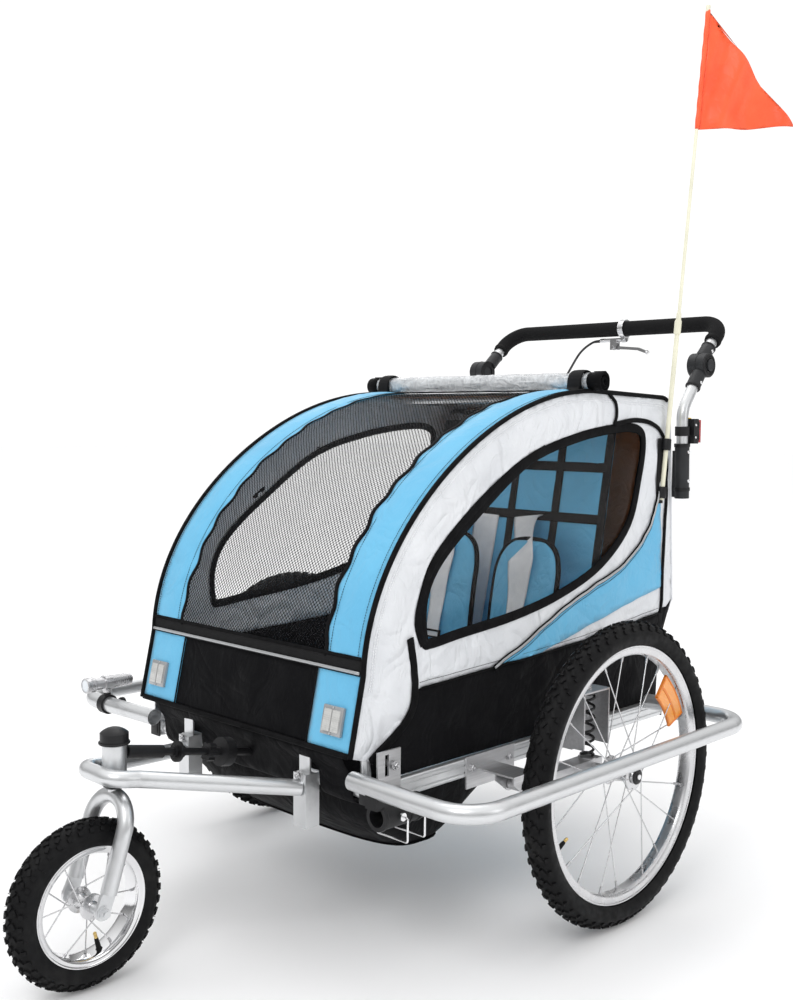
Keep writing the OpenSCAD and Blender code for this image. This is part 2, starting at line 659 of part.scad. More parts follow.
roll_r = 17;
roll_z = roof_z + roll_r + soft_gap;
module rain_cover_roll() color("lightgray") x_rod(-cabin_half - 29, cabin_half + 29, crown_y - 3, roll_z, roll_r);
module cover_straps() color("black") both_sides() difference() {
  x_rod(cabin_half - 40, cabin_half - 10, crown_y - 3, roll_z, roll_r + 3);
  x_rod(cabin_half - 45, cabin_half - 5, crown_y - 3, roll_z, roll_r + soft_gap);
  translate([cabin_half - 65, crown_y - 40, roof_z - 20]) cube([80, 80, 20 + soft_gap]);
}
module front_reflectors() color("gainsboro") both_sides() {
  top = nose(belt_t, 0);
  lean = atan2(top.x - apron_low.x, top.y - apron_low.y);
  translate([cabin_half - 30, apron_low.x, apron_low.y]) rotate([-lean, 0, 0])
    translate([-23, -8 - soft_gap, 32]) cube([46, 8, 50]);
}

// ---- push handle ----------------------------------------------------------------------

post_line_x = joint_x + 3;
knuckle_r = 24;
knuckle_w = 17;
neck_r = 14;
neck_start = 22;
joint_c = [0, joint_y, joint_z];
post_foot = [post_line_x, 394, 690];
post_bend = [post_line_x, 389, 852];
post_dir = unit([0, post_bend.y - joint_y, post_bend.z - joint_z]);
bar_dir = unit([0, bar_back, bar_up]);
arm_line_x = joint_x - knuckle_w / 2;
bar_path = [[arm_line_x, joint_y, joint_z] + bar_dir * (neck_start + 6), [arm_line_x, bar_y, bar_z],
            [-arm_line_x, bar_y, bar_z], [-arm_line_x, joint_y, joint_z] + bar_dir * (neck_start + 6)];
bar_bend = 45;

module handle_posts() color("silver") both_sides()
  bent_tube([post_foot, post_bend, [post_line_x, joint_y, joint_z] + post_dir * (neck_start + 6)],
            handle_r, 50);

// black sockets below and the outer halves of the joints above
post_up = unit(post_bend - post_foot);
module knuckle(x0, x1, axis_x, dir, clear_x0, clear_x1) difference() {
  union() {
    x_rod(x0, x1, joint_y, joint_z, knuckle_r);
    difference() {
      translate([axis_x, joint_y, joint_z]) along(dir) translate([0, 0, neck_start])
        cylinder(r = neck_r, h = 34);
      x_rod(clear_x0, clear_x1, joint_y, joint_z, knuckle_r + 0.6);
    }
  }
  translate([axis_x, joint_y, joint_z]) along(dir) translate([0, 0, neck_start + 6])
    cylinder(r = handle_r + fit_gap, h = 60);
}
module post_sockets() color("dimgray") both_sides() {
  difference() {
    union() {
      rod(post_foot - post_up * 8, post_foot + post_up * 96, neck_r);
      translate([cabin_half + panel_t + soft_gap, post_foot.y - 10, post_foot.z - 6])
        cube([12, 20, 90]);
    }
    rod(post_foot, post_foot + post_up * 120, handle_r + fit_gap);
  }
  difference() {
    knuckle(joint_x + soft_gap, joint_x + knuckle_w, post_line_x, post_dir,
            joint_x - 20, joint_x + soft_gap + 0.2);
    x_rod(joint_x + knuckle_w - button_depth, joint_x + knuckle_w + 2, joint_y, joint_z,
          button_r + fit_gap);
  }
}
module handle_knuckles() color("dimgray") both_sides()
  knuckle(joint_x - knuckle_w, joint_x - soft_gap, arm_line_x, bar_dir,
          joint_x - soft_gap - 0.2, joint_x + 20);
button_r = 12;
button_depth = 10;
button_travel = 3;
module joint_button() x_rod(joint_x + knuckle_w - button_depth + button_travel + 0.5,
                            joint_x + knuckle_w + 4, joint_y, joint_z, button_r);
module left_joint_button() color("black") joint_button();
module right_joint_button() color("black") mirror([1, 0, 0]) joint_button();

module handle_bar() color("silver") bent_tube(bar_path, handle_r, bar_bend);
module foam_grip() color("black") {
  start = bar_path[0] + (bar_path[1] - bar_path[0]) * 0.42;
  grip_path = [start, bar_path[1], bar_path[2], [-start.x, start.y, start.z]];
  difference() {
    bent_tube(grip_path, grip_r, bar_bend);
    bent_tube(bar_path, handle_r + fit_gap, bar_bend);
  }
}

// ---- brake lever and cable ------------------------------------------------------------

clamp_x = 36;
lever_pivot = [12, bar_z - 40];
lever_pin_r = 2;
ear_half = 5;
module brake_bracket() color("gainsboro") difference() {
  union() {
    x_rod(clamp_x - 6, clamp_x + 6, bar_y, bar_z, grip_r + clamp_t);
    translate([clamp_x - 6, bar_y - 5, bar_z - 26]) cube([12, 10, 12]);
    x_rod(-12, clamp_x + 6, bar_y, bar_z - 24, 4.5);
    x_rod(-24, -12, bar_y, bar_z - 24, 3.5);
    for (s = [-1, 1]) translate([lever_pivot.x - 8, bar_y + s * (ear_half + 1) - 1, lever_pivot.y - 5])
      cube([16, 2, 22]);
    translate([lever_pivot.x - 8, bar_y - ear_half - 2, lever_pivot.y + 13])
      cube([16, 2 * ear_half + 4, 6]);
    rod([lever_pivot.x, bar_y - ear_half - 2, lever_pivot.y],
        [lever_pivot.x, bar_y + ear_half + 2, lever_pivot.y], lever_pin_r);
  }
  x_rod(clamp_x - 7, clamp_x + 7, bar_y, bar_z, grip_r + fit_gap);
}
module brake_lever() color("silver") difference() {
  half = ear_half - 0.3;
  union() {
    rod([lever_pivot.x, bar_y - half, lever_pivot.y], [lever_pivot.x, bar_y + half, lever_pivot.y], 5);
    translate([0, bar_y + half - 1, 0]) rotate([90, 0, 0]) linear_extrude(2 * half - 2)
      polygon([lever_pivot + [2, -3.5], lever_pivot + [2, 3.5], lever_pivot + [30, 1],
               lever_pivot + [62, -2], lever_pivot + [82, -10], lever_pivot + [80, -15],
               lever_pivot + [60, -8], lever_pivot + [28, -5]]);
    translate([lever_pivot.x + 82, bar_y, lever_pivot.y - 13]) sphere(5);
  }
  rod([lever_pivot.x, bar_y - 9, lever_pivot.y], [lever_pivot.x, bar_y + 9, lever_pivot.y],
      lever_pin_r + fit_gap);
}

cable_r = 2.5;
cable_points = [[-24.3, bar_y, bar_z - 24], [-45, bar_y - 2, bar_z - 27], [-70, bar_y - 12, bar_z - 48],
  [-86, bar_y - 32, bar_z - 90], [-94, 486, 880], [-98, 440, 822], [-99, 412, 750], [-99, 408, 650],
  [-99, 412, 550], [-99, 414, 470], [-99, 398, 400], [-99, 368, 340], [-99, 352, 305],
  [cable_stop.x, cable_stop.y, rail_z + 8]];
module brake_cable() color("black") swept_tube(smooth(cable_points, 4), cable_r, 8, [0, 1, 0]);

// ---- lights and flag ------------------------------------------------------------------

tail_z = 812;
tail_at = post_foot + post_up * (tail_z - post_foot.z);
module tail_light() color("black") difference() {
  union() {
    translate([tail_at.x - 18, tail_at.y + handle_r + 2, tail_z - 24]) cube([36, 17, 48]);
    rod(tail_at - post_up * 9, tail_at + post_up * 9, handle_r + 3);
  }
  rod(tail_at - post_up * 60, tail_at + post_up * 60, handle_r + fit_gap);
}
module tail_lens() color("red")
  translate([tail_at.x - 16, tail_at.y + handle_r + 19, tail_z - 22]) cube([32, 12, 44]);

lamp_x = 400;
lamp_z = bumper_z + 40;
lamp_r = 11;
module lamp_clamp() color("black") mirror([1, 0, 0]) difference() {
  union() {
    x_rod(lamp_x - 8, lamp_x + 8, bumper_front_y, bumper_z, bumper_r + 4);
    translate([lamp_x, bumper_front_y, bumper_z]) cylinder(r = 7, h = 22);
    rod([lamp_x, bumper_front_y + bumper_r, bumper_z - 2], [lamp_x, bumper_front_y + bumper_r + 16,
        bumper_z - 2], 6);
  }
  x_rod(lamp_x - 9, lamp_x + 9, bumper_front_y, bumper_z, bumper_r + fit_gap);
}
module lamp() color("silver") mirror([1, 0, 0]) difference() {
  union() {
    rod([lamp_x, bumper_front_y + 48, lamp_z], [lamp_x, bumper_front_y - 28, lamp_z], lamp_r);
    rod([lamp_x, bumper_front_y - 28, lamp_z], [lamp_x, bumper_front_y - 46, lamp_z], lamp_r + 2.5);
    rod([lamp_x, bumper_front_y - 8, lamp_z], [lamp_x, bumper_front_y + 8, lamp_z], lamp_r + 3);
    translate([lamp_x, bumper_front_y, bumper_z + 22.1]) cylinder(r = 8, h = 10);
  }
  rod([lamp_x, bumper_front_y - 40, lamp_z], [lamp_x, bumper_front_y - 47, lamp_z], lamp_r);
}

pole_r = 3.2;
module flag_pole() color("ivory") {
  rod(pole_foot + pole_dir * 0.3, pole_foot + pole_dir * 330, 4.5);
  rod(pole_foot + pole_dir * 330, pole_top, pole_r);
}
module flag() color("orangered") {
  out = [0.6, 0.8, 0];
  a = pole_top + out * (pole_r + soft_gap) - pole_dir * 6;
  b = a - pole_dir * flag_h;
  tip = b + out * flag_len + [0, 0, 14];
  n = unit(cross(b - a, tip - a)) * 0.5;
  polyhedron([a + n, b + n, tip + n, a - n, b - n, tip - n],
             [[0, 2, 1], [3, 4, 5], [0, 1, 4, 3], [1, 2, 5, 4], [2, 0, 3, 5]]);
}

// ---- all pieces -----------------------------------------------------------------------

translate([0, origin_shift, 0]) {
  side_rails();
  cross_tubes();
  side_hoops();
  roof_bars();
  left_bumper();
  right_bumper();
  frame_brackets();
  spring_housings();
  tow_receiver();
  front_tow_pin();
  rear_tow_pin();
  front_arm();
  head_tube();
  head_caps();
  stay_tube();
  stay_knob();
  left_side_panel();
  right_side_panel();
  side_windows();
  front_cover();
  front_apron();
  rear_panel();
  floor_bag();
  seat();
  harness();
  rain_cover_roll();
  cover_straps();
  front_reflectors();
  handle_posts();
  post_sockets();
  tail_light();
  tail_lens();
  lamp_clamp();
  lamp();
  flag_pole();
  flag();
  brake_cable();
  left_swing_arm();
  right_swing_arm();
  left_spring();
  right_spring();
  left_tyre();
  left_rim();
  left_hub();
  left_spoke_reflector();
  right_tyre();
  right_rim();
  right_hub();
  right_spoke_reflector();
  fork();
  front_tyre();
  front_rim();
  front_hub();
  handle_bar();
  foam_grip();
  handle_knuckles();
  left_joint_button();
  right_joint_button();
  brake_bracket();
  brake_lever();
}
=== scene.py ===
"""The looks of a two-seat child bicycle trailer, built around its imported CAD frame."""

import math
import random

import bmesh
import bpy
from mathutils import Matrix, Vector, noise
from mathutils.geometry import delaunay_2d_cdt


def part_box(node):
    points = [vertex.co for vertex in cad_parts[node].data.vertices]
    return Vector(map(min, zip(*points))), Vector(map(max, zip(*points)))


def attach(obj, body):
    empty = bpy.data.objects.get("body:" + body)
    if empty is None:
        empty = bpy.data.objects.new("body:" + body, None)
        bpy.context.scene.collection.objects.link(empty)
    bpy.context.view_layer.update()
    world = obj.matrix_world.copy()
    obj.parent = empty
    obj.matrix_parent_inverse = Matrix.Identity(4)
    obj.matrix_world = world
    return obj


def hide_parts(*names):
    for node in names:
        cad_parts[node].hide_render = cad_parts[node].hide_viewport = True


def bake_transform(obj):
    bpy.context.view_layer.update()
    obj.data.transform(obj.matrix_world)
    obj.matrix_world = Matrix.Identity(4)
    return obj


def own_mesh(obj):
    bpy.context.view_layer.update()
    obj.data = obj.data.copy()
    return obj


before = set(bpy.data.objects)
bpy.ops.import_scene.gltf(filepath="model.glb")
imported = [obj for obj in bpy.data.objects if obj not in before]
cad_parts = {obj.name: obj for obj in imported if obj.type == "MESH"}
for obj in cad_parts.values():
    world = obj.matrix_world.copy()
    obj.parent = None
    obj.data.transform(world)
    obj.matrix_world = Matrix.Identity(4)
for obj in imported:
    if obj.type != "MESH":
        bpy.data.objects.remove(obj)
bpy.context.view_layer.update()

# ---- places and small helpers -------------------------------------------------------------

MM = 0.001
rim_low, rim_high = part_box("left_rim")
AXLE_Y = (rim_low.y + rim_high.y) / 2
SIDES = (("left", 1), ("right", -1))


def at(x, y, z):
    """Millimetres from the middle, the rear axle and the ground, as a place in the frame."""
    return Vector((x * MM, y * MM + AXLE_Y, z * MM))


def wave(x, y, z, size, seed=0.0):
    """Smooth noise from -1 to 1, with lumps of about size millimetres."""
    return noise.noise(Vector((x / size + seed, y / size - seed, z / size + 3.1 * seed)))


def clamp(t):
    return max(0.0, min(1.0, t))


def ease(t):
    t = clamp(t)
    return t * t * (3 - 2 * t)


def smooth_line(points, steps=8, closed=False):
    """A smooth curve through the points, as a denser row of points."""
    count = len(points)
    out = []
    for i in range(count if closed else count - 1):
        if closed:
            a, b, c, d = (points[(i + k - 1) % count] for k in range(4))
        else:
            a, b, c, d = (points[max(0, min(count - 1, i + k - 1))] for k in range(4))
        for s in range(steps):
            t = s / steps
            out.append(tuple(
                0.5 * (2 * q + (r - p) * t + (2 * p - 5 * q + 4 * r - w) * t * t
                       + (3 * q - p - 3 * r + w) * t ** 3)
                for p, q, r, w in zip(a, b, c, d)))
    if not closed:
        out.append(tuple(points[-1]))
    return out


def even_line(points, gap, closed=False):
    """The same line with its points about gap apart."""
    row = list(points) + ([points[0]] if closed else [])
    out = [row[0]]
    for a, b in zip(row, row[1:]):
        parts = max(1, round(math.dist(a, b) / gap))
        for k in range(1, parts + 1):
            out.append(tuple(p + (q - p) * k / parts for p, q in zip(a, b)))
    return out[:-1] if closed else out


def linked(name, data):
    """A new object on data, in the scene."""
    piece = bpy.data.objects.new(name, data)
    bpy.context.scene.collection.objects.link(piece)
    return piece


def circle(steps):
    """The angles of steps even places round a circle."""
    return [math.tau * k / steps for k in range(steps)]


# ---- camera, lights and floor -------------------------------------------------------------

SIGHT = (math.radians(44.41), math.radians(3.87), math.radians(0.47))    # turn, tilt, roll
CAMERA_PLACE = (1479.05, -1616.45, 827.52)
CAMERA_LENS = 42.177
ROOM_LIGHT = 1.08       # the white room's strength, but for what it shows in glossy faces
FLOOR_REACH = 30        # metres


def aim_camera():
    data = bpy.data.cameras.new("camera")
    data.sensor_width = 36.0
    data.lens = CAMERA_LENS
    turn, tilt, roll = SIGHT
    back = Vector((math.sin(turn) * math.cos(tilt), -math.cos(turn) * math.cos(tilt),
                   math.sin(tilt)))
    level = Vector((math.cos(turn), math.sin(turn), 0))
    upright = back.cross(level)
    right = level * math.cos(roll) + upright * math.sin(roll)
    up = upright * math.cos(roll) - level * math.sin(roll)
    camera = linked("camera", data)
    camera.matrix_world = Matrix.Translation(at(*CAMERA_PLACE)) @ Matrix(
        (right, up, back)).transposed().to_4x4()
    bpy.context.scene.camera = camera


def soft_light(name, place, aim, size, watts):
    data = bpy.data.lights.new(name, "AREA")
    data.shape = "DISK"
    data.size = size
    data.energy = watts
    light = linked(name, data)
    light.location = place
    light.rotation_euler = (Vector(aim) - Vector(place)).to_track_quat("-Z", "Y").to_euler()


def light_studio():
    """Soft lamps in a white room, whose reflection has a darker band at the horizon so that
    the tubes keep their form."""
    soft_light("key", (1.4, -2.8, 3.2), (0, 0, 0.4), 1.5, 30)
    soft_light("fill", (3.4, 0.9, 1.6), (0, 0, 0.5), 1.6, 8)
    soft_light("top", (-0.6, 0.4, 3.6), (0, 0, 0.3), 2.2, 16)
    soft_light("rim", (-2.8, 1.8, 2.0), (0, 0, 0.7), 1.4, 10)
    world = bpy.data.worlds.new("pale_room")
    world.use_nodes = True
    nodes, links = world.node_tree.nodes, world.node_tree.links
    ray = nodes.new("ShaderNodeLightPath")
    spot = nodes.new("ShaderNodeTexCoord")
    parts = nodes.new("ShaderNodeSeparateXYZ")
    band = nodes.new("ShaderNodeMapRange")
    mix = nodes.new("ShaderNodeMix")
    links.new(spot.outputs["Generated"], parts.inputs[0])
    links.new(parts.outputs["Z"], band.inputs["Value"])
    for name, number in (("From Min", 0.05), ("From Max", 0.75), ("To Min", 0.20),
                         ("To Max", 1.15)):
        band.inputs[name].default_value = number
    links.new(ray.outputs["Is Glossy Ray"], mix.inputs[0])
    mix.inputs[2].default_value = ROOM_LIGHT
    links.new(band.outputs["Result"], mix.inputs[3])
    room = nodes["Background"]
    room.inputs["Color"].default_value = (1, 1, 1, 1)
    links.new(mix.outputs[0], room.inputs["Strength"])
    bpy.context.scene.world = world
    bpy.context.scene.view_settings.view_transform = "Standard"


def lay_floor():
    mesh = bpy.data.meshes.new("floor")
    mesh.from_pydata([(x * FLOOR_REACH, y * FLOOR_REACH, 0)
                      for x, y in ((-1, -1), (1, -1), (1, 1), (-1, 1))], [], [(0, 1, 2, 3)])
    paper = bpy.data.materials.new("pale_floor")
    paper.use_nodes = True
    shader = paper.node_tree.nodes["Principled BSDF"]
    shader.inputs["Base Color"].default_value = (0.93, 0.93, 0.935, 1)
    shader.inputs["Roughness"].default_value = 1.0
    shader.inputs["Specular IOR Level"].default_value = 0.0
    mesh.materials.append(paper)
    linked("floor", mesh)


aim_camera()
light_studio()
lay_floor()

# ---- materials ----------------------------------------------------------------------------

THREAD_SCALE = 0.159    # the wave texture's scale at which half a wave, one thread, is one unit


class Finish:
    """A material with one Principled shader, and short calls that add the nodes it reads."""

    def __init__(self, name, colour, rough, metal=0.0, **sockets):
        self.material = bpy.data.materials.new(name)
        self.material.use_nodes = True
        self.nodes = self.material.node_tree.nodes
        self.links = self.material.node_tree.links
        self.shader = self.nodes["Principled BSDF"]
        self.colour = (*colour, 1.0)
        self.set("Base Color", self.colour)
        self.set("Roughness", rough)
        self.set("Metallic", metal)
        for socket, value in sockets.items():
            self.set(socket.replace("_", " "), value)
        self.places = self.nodes.new("ShaderNodeTexCoord")

    def set(self, socket, value):
        self.shader.inputs[socket].default_value = value

    def add(self, kind, **inputs):
        """A node, with its inputs given by name as numbers, or as sockets to link."""
        node = self.nodes.new("ShaderNode" + kind)
        for name, value in inputs.items():
            socket = node.inputs[name.replace("_", " ")]
            if isinstance(value, bpy.types.NodeSocket):
                self.links.new(value, socket)
            else:
                socket.default_value = value
        return node

    def where(self, on_uv=False, stretch=(1, 1, 1), turn=(0, 0, 0)):
        """Object places, or the piece's own UV map, turned and stretched."""
        node = self.add("Mapping", Scale=stretch, Rotation=turn,
                        Vector=self.places.outputs["UV" if on_uv else "Object"])
        return node.outputs["Vector"]

    def noise(self, scale, detail=3.0, rough=0.5, where=None, distort=0.0):
        node = self.add("TexNoise", Vector=where or self.where(), Scale=scale, Detail=detail,
                        Roughness=rough, Distortion=distort)
        return node.outputs["Fac"]

    def spread(self, value, low, high, to_low=0.0, to_high=1.0):
        """value's stretch from low to high, mapped on to_low to to_high."""
        node = self.add("MapRange", Value=value)
        for name, number in (("From Min", low), ("From Max", high),
                             ("To Min", to_low), ("To Max", to_high)):
            node.inputs[name].default_value = number
        return node.outputs["Result"]

    def sums(self, how, a, b):
        node = self.nodes.new("ShaderNodeMath")
        node.operation = how
        for k, value in enumerate((a, b)):
            if isinstance(value, bpy.types.NodeSocket):
                self.links.new(value, node.inputs[k])
            else:
                node.inputs[k].default_value = value
        return node.outputs[0]

    def mix(self, share, first, second):
        node = self.nodes.new("ShaderNodeMix")
        node.data_type = "RGBA"
        for socket, value in ((node.inputs[0], share), (node.inputs[6], first),
                              (node.inputs[7], second)):
            if isinstance(value, bpy.types.NodeSocket):
                self.links.new(value, socket)
            else:
                socket.default_value = value
        return node.outputs[2]

    def tint(self, share, other):
        """Blends the base colour towards other where share is high."""
        socket = self.shader.inputs["Base Color"]
        before = socket.links[0].from_socket if socket.is_linked else self.colour
        self.links.new(self.mix(share, before, (*other, 1.0)), socket)
        return self

    def roughen(self, value, low, high, rough_low, rough_high):
        self.links.new(self.spread(value, low, high, rough_low, rough_high),
                       self.shader.inputs["Roughness"])
        return self

    def bump(self, height, depth):
        """Adds relief of about depth millimetres on top of any there already."""
        node = self.add("Bump", Strength=1.0, Distance=depth * MM, Height=height)
        socket = self.shader.inputs["Normal"]
        if socket.is_linked:
            self.links.new(socket.links[0].from_socket, node.inputs["Normal"])
        self.links.new(node.outputs["Normal"], socket)
        return self

    def weave(self, threads_per_mm, depth):
        """A plain weave on the piece's own UV map, in millimetres."""
        spot = self.where(on_uv=True)
        rows = []
        for direction in ("X", "Y"):
            node = self.add("TexWave", Vector=spot, Scale=threads_per_mm * THREAD_SCALE)
            node.bands_direction = direction
            rows.append(node.outputs["Fac"])
        return self.bump(self.sums("MULTIPLY", *rows), depth)

    def creases(self, size, depth, distort=1.2, stretch=(1, 1, 1)):
        """Soft creases, about size millimetres apart, on Object places."""
        folds = self.noise(1000 / size, 2.0, 0.45, self.where(stretch=stretch), distort)
        ridge = self.sums("ABSOLUTE", self.sums("SUBTRACT", folds, 0.5), 0.0)
        return self.bump(self.spread(ridge, 0.0, 0.16), depth)


def nylon(name, colour, shade, rough=0.55, crease=1.0, sheen=0.15, shine=0.4):
    """Coated nylon cloth: a fine weave, soft puckers and small changes of tone."""
    cloth = Finish(name, colour, rough, Sheen_Weight=sheen, Sheen_Roughness=0.45,
                   Specular_IOR_Level=shine)
    cloth.tint(cloth.spread(cloth.noise(9, 4.0), 0.35, 0.7, 0.0, 0.55), shade)
    cloth.roughen(cloth.noise(30, 3.0), 0.3, 0.7, rough - 0.07, rough + 0.08)
    cloth.weave(1.1, 0.12)
    cloth.creases(95, 1.5 * crease)
    cloth.creases(28, 0.35 * crease, stretch=(1, 1, 0.6))
    return cloth.material


def tube_paint():
    """Silver lacquer with a fine metal grain and faint rubs."""
    paint = Finish("silver_tube_lacquer", (0.66, 0.67, 0.68), 0.30, 0.85, Coat_Weight=0.25,
                   Coat_Roughness=0.2)
    paint.tint(paint.spread(paint.noise(2200, 2.0), 0.45, 0.62, 0.0, 0.35), (0.80, 0.81, 0.82))
    paint.tint(paint.spread(paint.noise(14, 5.0, 0.6), 0.62, 0.75, 0.0, 0.4), (0.42, 0.42, 0.43))
    paint.roughen(paint.noise(60, 4.0), 0.3, 0.7, 0.28, 0.42)
    paint.bump(paint.noise(900, 2.0), 0.03)
    return paint.material


def pressed_plate():
    """Bare pressed plate with faint rolling lines."""
    plate = Finish("pressed_plate", (0.58, 0.58, 0.59), 0.38, 0.9)
    lines = plate.noise(220, 4.0, 0.6, plate.where(stretch=(1, 0.06, 1)))
    plate.tint(plate.spread(lines, 0.35, 0.7, 0.0, 0.5), (0.40, 0.40, 0.41))
    plate.roughen(lines, 0.3, 0.7, 0.3, 0.48)
    plate.bump(lines, 0.04)
    return plate.material


def bright_metal(name, colour, rough):
    """Chromed or polished metal with fine smears."""
    metal = Finish(name, colour, rough, 1.0)
    metal.roughen(metal.noise(45, 5.0, 0.6), 0.35, 0.75, rough * 0.7, rough * 1.7)
    metal.tint(metal.spread(metal.noise(20, 3.0), 0.55, 0.8, 0.0, 0.3),
               tuple(0.75 * c for c in colour))
    metal.bump(metal.noise(300, 2.0), 0.01)
    return metal.material


def black_plastic(name="moulded_black_plastic", colour=(0.009, 0.009, 0.010), rough=0.42):
    """Moulded plastic with a spark-eroded grain."""
    shell = Finish(name, colour, rough, Specular_IOR_Level=0.3)
    grain = shell.noise(1500, 2.0)
    shell.roughen(shell.noise(50, 4.0), 0.3, 0.7, rough - 0.08, rough + 0.1)
    shell.tint(shell.spread(shell.noise(18, 4.0), 0.5, 0.75, 0.0, 0.4),
               tuple(2.4 * c for c in colour))
    shell.bump(grain, 0.05)
    return shell.material


def tyre_rubber():
    rubber = Finish("tyre_rubber", (0.005, 0.005, 0.0055), 0.6, Specular_IOR_Level=0.16)
    rubber.tint(rubber.spread(rubber.noise(24, 5.0, 0.6), 0.5, 0.8, 0.0, 0.6),
                (0.022, 0.0215, 0.021))
    rubber.roughen(rubber.noise(90, 3.0), 0.3, 0.7, 0.5, 0.74)
    rubber.bump(rubber.noise(700, 3.0), 0.08)
    return rubber.material


def handle_foam():
    """Closed-cell foam: fine open pores and a soft dull skin."""
    foam = Finish("handle_foam", (0.008, 0.008, 0.0085), 0.85, Specular_IOR_Level=0.15)
    cells = foam.add("TexVoronoi", Vector=foam.where(), Scale=900.0)
    foam.bump(cells.outputs["Distance"], 0.16)
    foam.tint(foam.spread(cells.outputs["Distance"], 0.0, 0.5, 0.35, 0.0), (0.026, 0.026, 0.027))
    foam.bump(foam.noise(40, 3.0), 0.3)
    return foam.material


def clear_film(name, colour, alpha, rough, crease, size, vary=1.6):
    """Clear PVC: glossy, faintly tinted and creased, more so where it folds."""
    film = Finish(name, colour, rough, Specular_IOR_Level=0.9, Coat_Weight=0.6,
                  Coat_Roughness=0.06)
    folds = film.noise(1000 / size, 3.0, 0.55, distort=1.8)
    film.links.new(film.spread(folds, 0.3, 0.75, alpha / vary, min(1.0, alpha * vary)),
                   film.shader.inputs["Alpha"])
    film.bump(film.spread(folds, 0.25, 0.75), crease)
    film.roughen(film.noise(18, 3.0), 0.3, 0.7, rough * 0.7, rough * 1.6)
    return film.material


def net_mesh():
    """Black knitted net: even rows of round holes, through which most of the light goes."""
    net = Finish("knitted_net", (0.005, 0.005, 0.006), 0.7, Specular_IOR_Level=0.15)
    spot = net.where(on_uv=True)
    rows = []
    for turn in (math.radians(45), math.radians(-45)):
        bands = net.add("TexWave", Vector=net.where(on_uv=True, turn=(0, 0, turn)), Scale=0.062)
        rows.append(bands.outputs["Fac"])
    holes = net.sums("MULTIPLY", *rows)
    net.links.new(net.spread(holes, 0.03, 0.08, 0.78, 0.01), net.shader.inputs["Alpha"])
    net.bump(holes, -0.3)
    net.tint(net.spread(net.noise(12, 3.0, 0.5, spot), 0.3, 0.8, 0.0, 0.5), (0.012, 0.012, 0.014))
    return net.material


def webbing(name, colour, shade):
    """Woven strap: ribs across it and a herringbone along it, on the strap's own UV map."""
    strap = Finish(name, colour, 0.7, Specular_IOR_Level=0.2)
    spot = strap.where(on_uv=True)
    ribs = strap.add("TexWave", Vector=spot, Scale=0.25, Distortion=0.6)
    ribs.bands_direction = "Y"
    slant = strap.add("TexWave", Vector=strap.where(on_uv=True, turn=(0, 0, 0.8)), Scale=0.12)
    strap.bump(ribs.outputs["Fac"], 0.25)
    strap.bump(slant.outputs["Fac"], 0.12)
    strap.tint(strap.spread(strap.noise(60, 4.0), 0.3, 0.7, 0.0, 0.6), shade)
    return strap.material


def binding_tape():
    """The folded black tape sewn over every edge."""
    tape = Finish("black_binding_tape", (0.0025, 0.0025, 0.003), 0.7, Specular_IOR_Level=0.1)
    ribs = tape.noise(700, 2.0)
    tape.bump(ribs, 0.12)
    tape.creases(22, 0.3)
    tape.tint(tape.spread(tape.noise(40, 3.0), 0.4, 0.7, 0.0, 0.5), (0.010, 0.010, 0.011))
    return tape.material


def prism_plastic(name, colour, rough, cell):
    """A moulded reflector or lens: small prisms, cell millimetres apart, under a glossy face."""
    lens = Finish(name, colour, rough, Specular_IOR_Level=0.8, Coat_Weight=1.0,
                  Coat_Roughness=0.05)
    prisms = lens.add("TexVoronoi", Vector=lens.where(), Scale=1000 / cell, Randomness=0.0)
    lens.bump(prisms.outputs["Distance"], 0.7)
    lens.tint(lens.spread(prisms.outputs["Distance"], 0.1, 0.6, 0.0, 0.55),
              tuple(min(1.0, c * 1.6) for c in colour))
    return lens.material


def plain(name, colour, rough, metal=0.0, grain=0.05, tone=0.3, **sockets):
    """A simple moulded, enamelled or turned surface with its own grain and tone."""
    skin = Finish(name, colour, rough, metal, **sockets)
    skin.tint(skin.spread(skin.noise(25, 4.0), 0.35, 0.75, 0.0, tone),
              tuple(0.6 * c for c in colour))
    skin.roughen(skin.noise(70, 3.0), 0.3, 0.7, rough * 0.85, min(1.0, rough * 1.2))
    skin.bump(skin.noise(800, 2.0), grain)
    return skin.material


def shade_sheet_finish():
    """Painted shade: a dark brown sheet for the shaded cabin back, seen through the tinted side
    window.
    """
    shade_sheets = Finish("painted_shade_sheet", (0.19, 0.062, 0.014), 0.8)
    shade_sheets.creases(60, 1.5)
    shade_sheets.tint(shade_sheets.spread(shade_sheets.noise(8, 3.0), 0.4, 0.7, 0.0, 0.6), (0.30, 0.11, 0.03))
    return shade_sheets.material


BLUE_CLOTH = nylon("sky_blue_nylon", (0.135, 0.46, 0.70), (0.10, 0.39, 0.63))
# partly painted light: the pads' own sky blue, made lighter than the outer blue nylon to stand for
# the light inside the cabin
BLUE_PADDED_LIT = nylon("padded_blue_nylon_lit", (0.15, 0.50, 0.76), (0.11, 0.42, 0.68), 0.6, 1.3)
WHITE_CLOTH = nylon("silver_white_nylon", (0.73, 0.745, 0.77), (0.56, 0.58, 0.61), 0.45, 2.0)
BLACK_CLOTH = nylon("black_nylon", (0.003, 0.003, 0.0038), (0.0065, 0.0065, 0.0075), 0.62, 1.2,
                    0.0, 0.08)
BINDING = binding_tape()
NET = net_mesh()
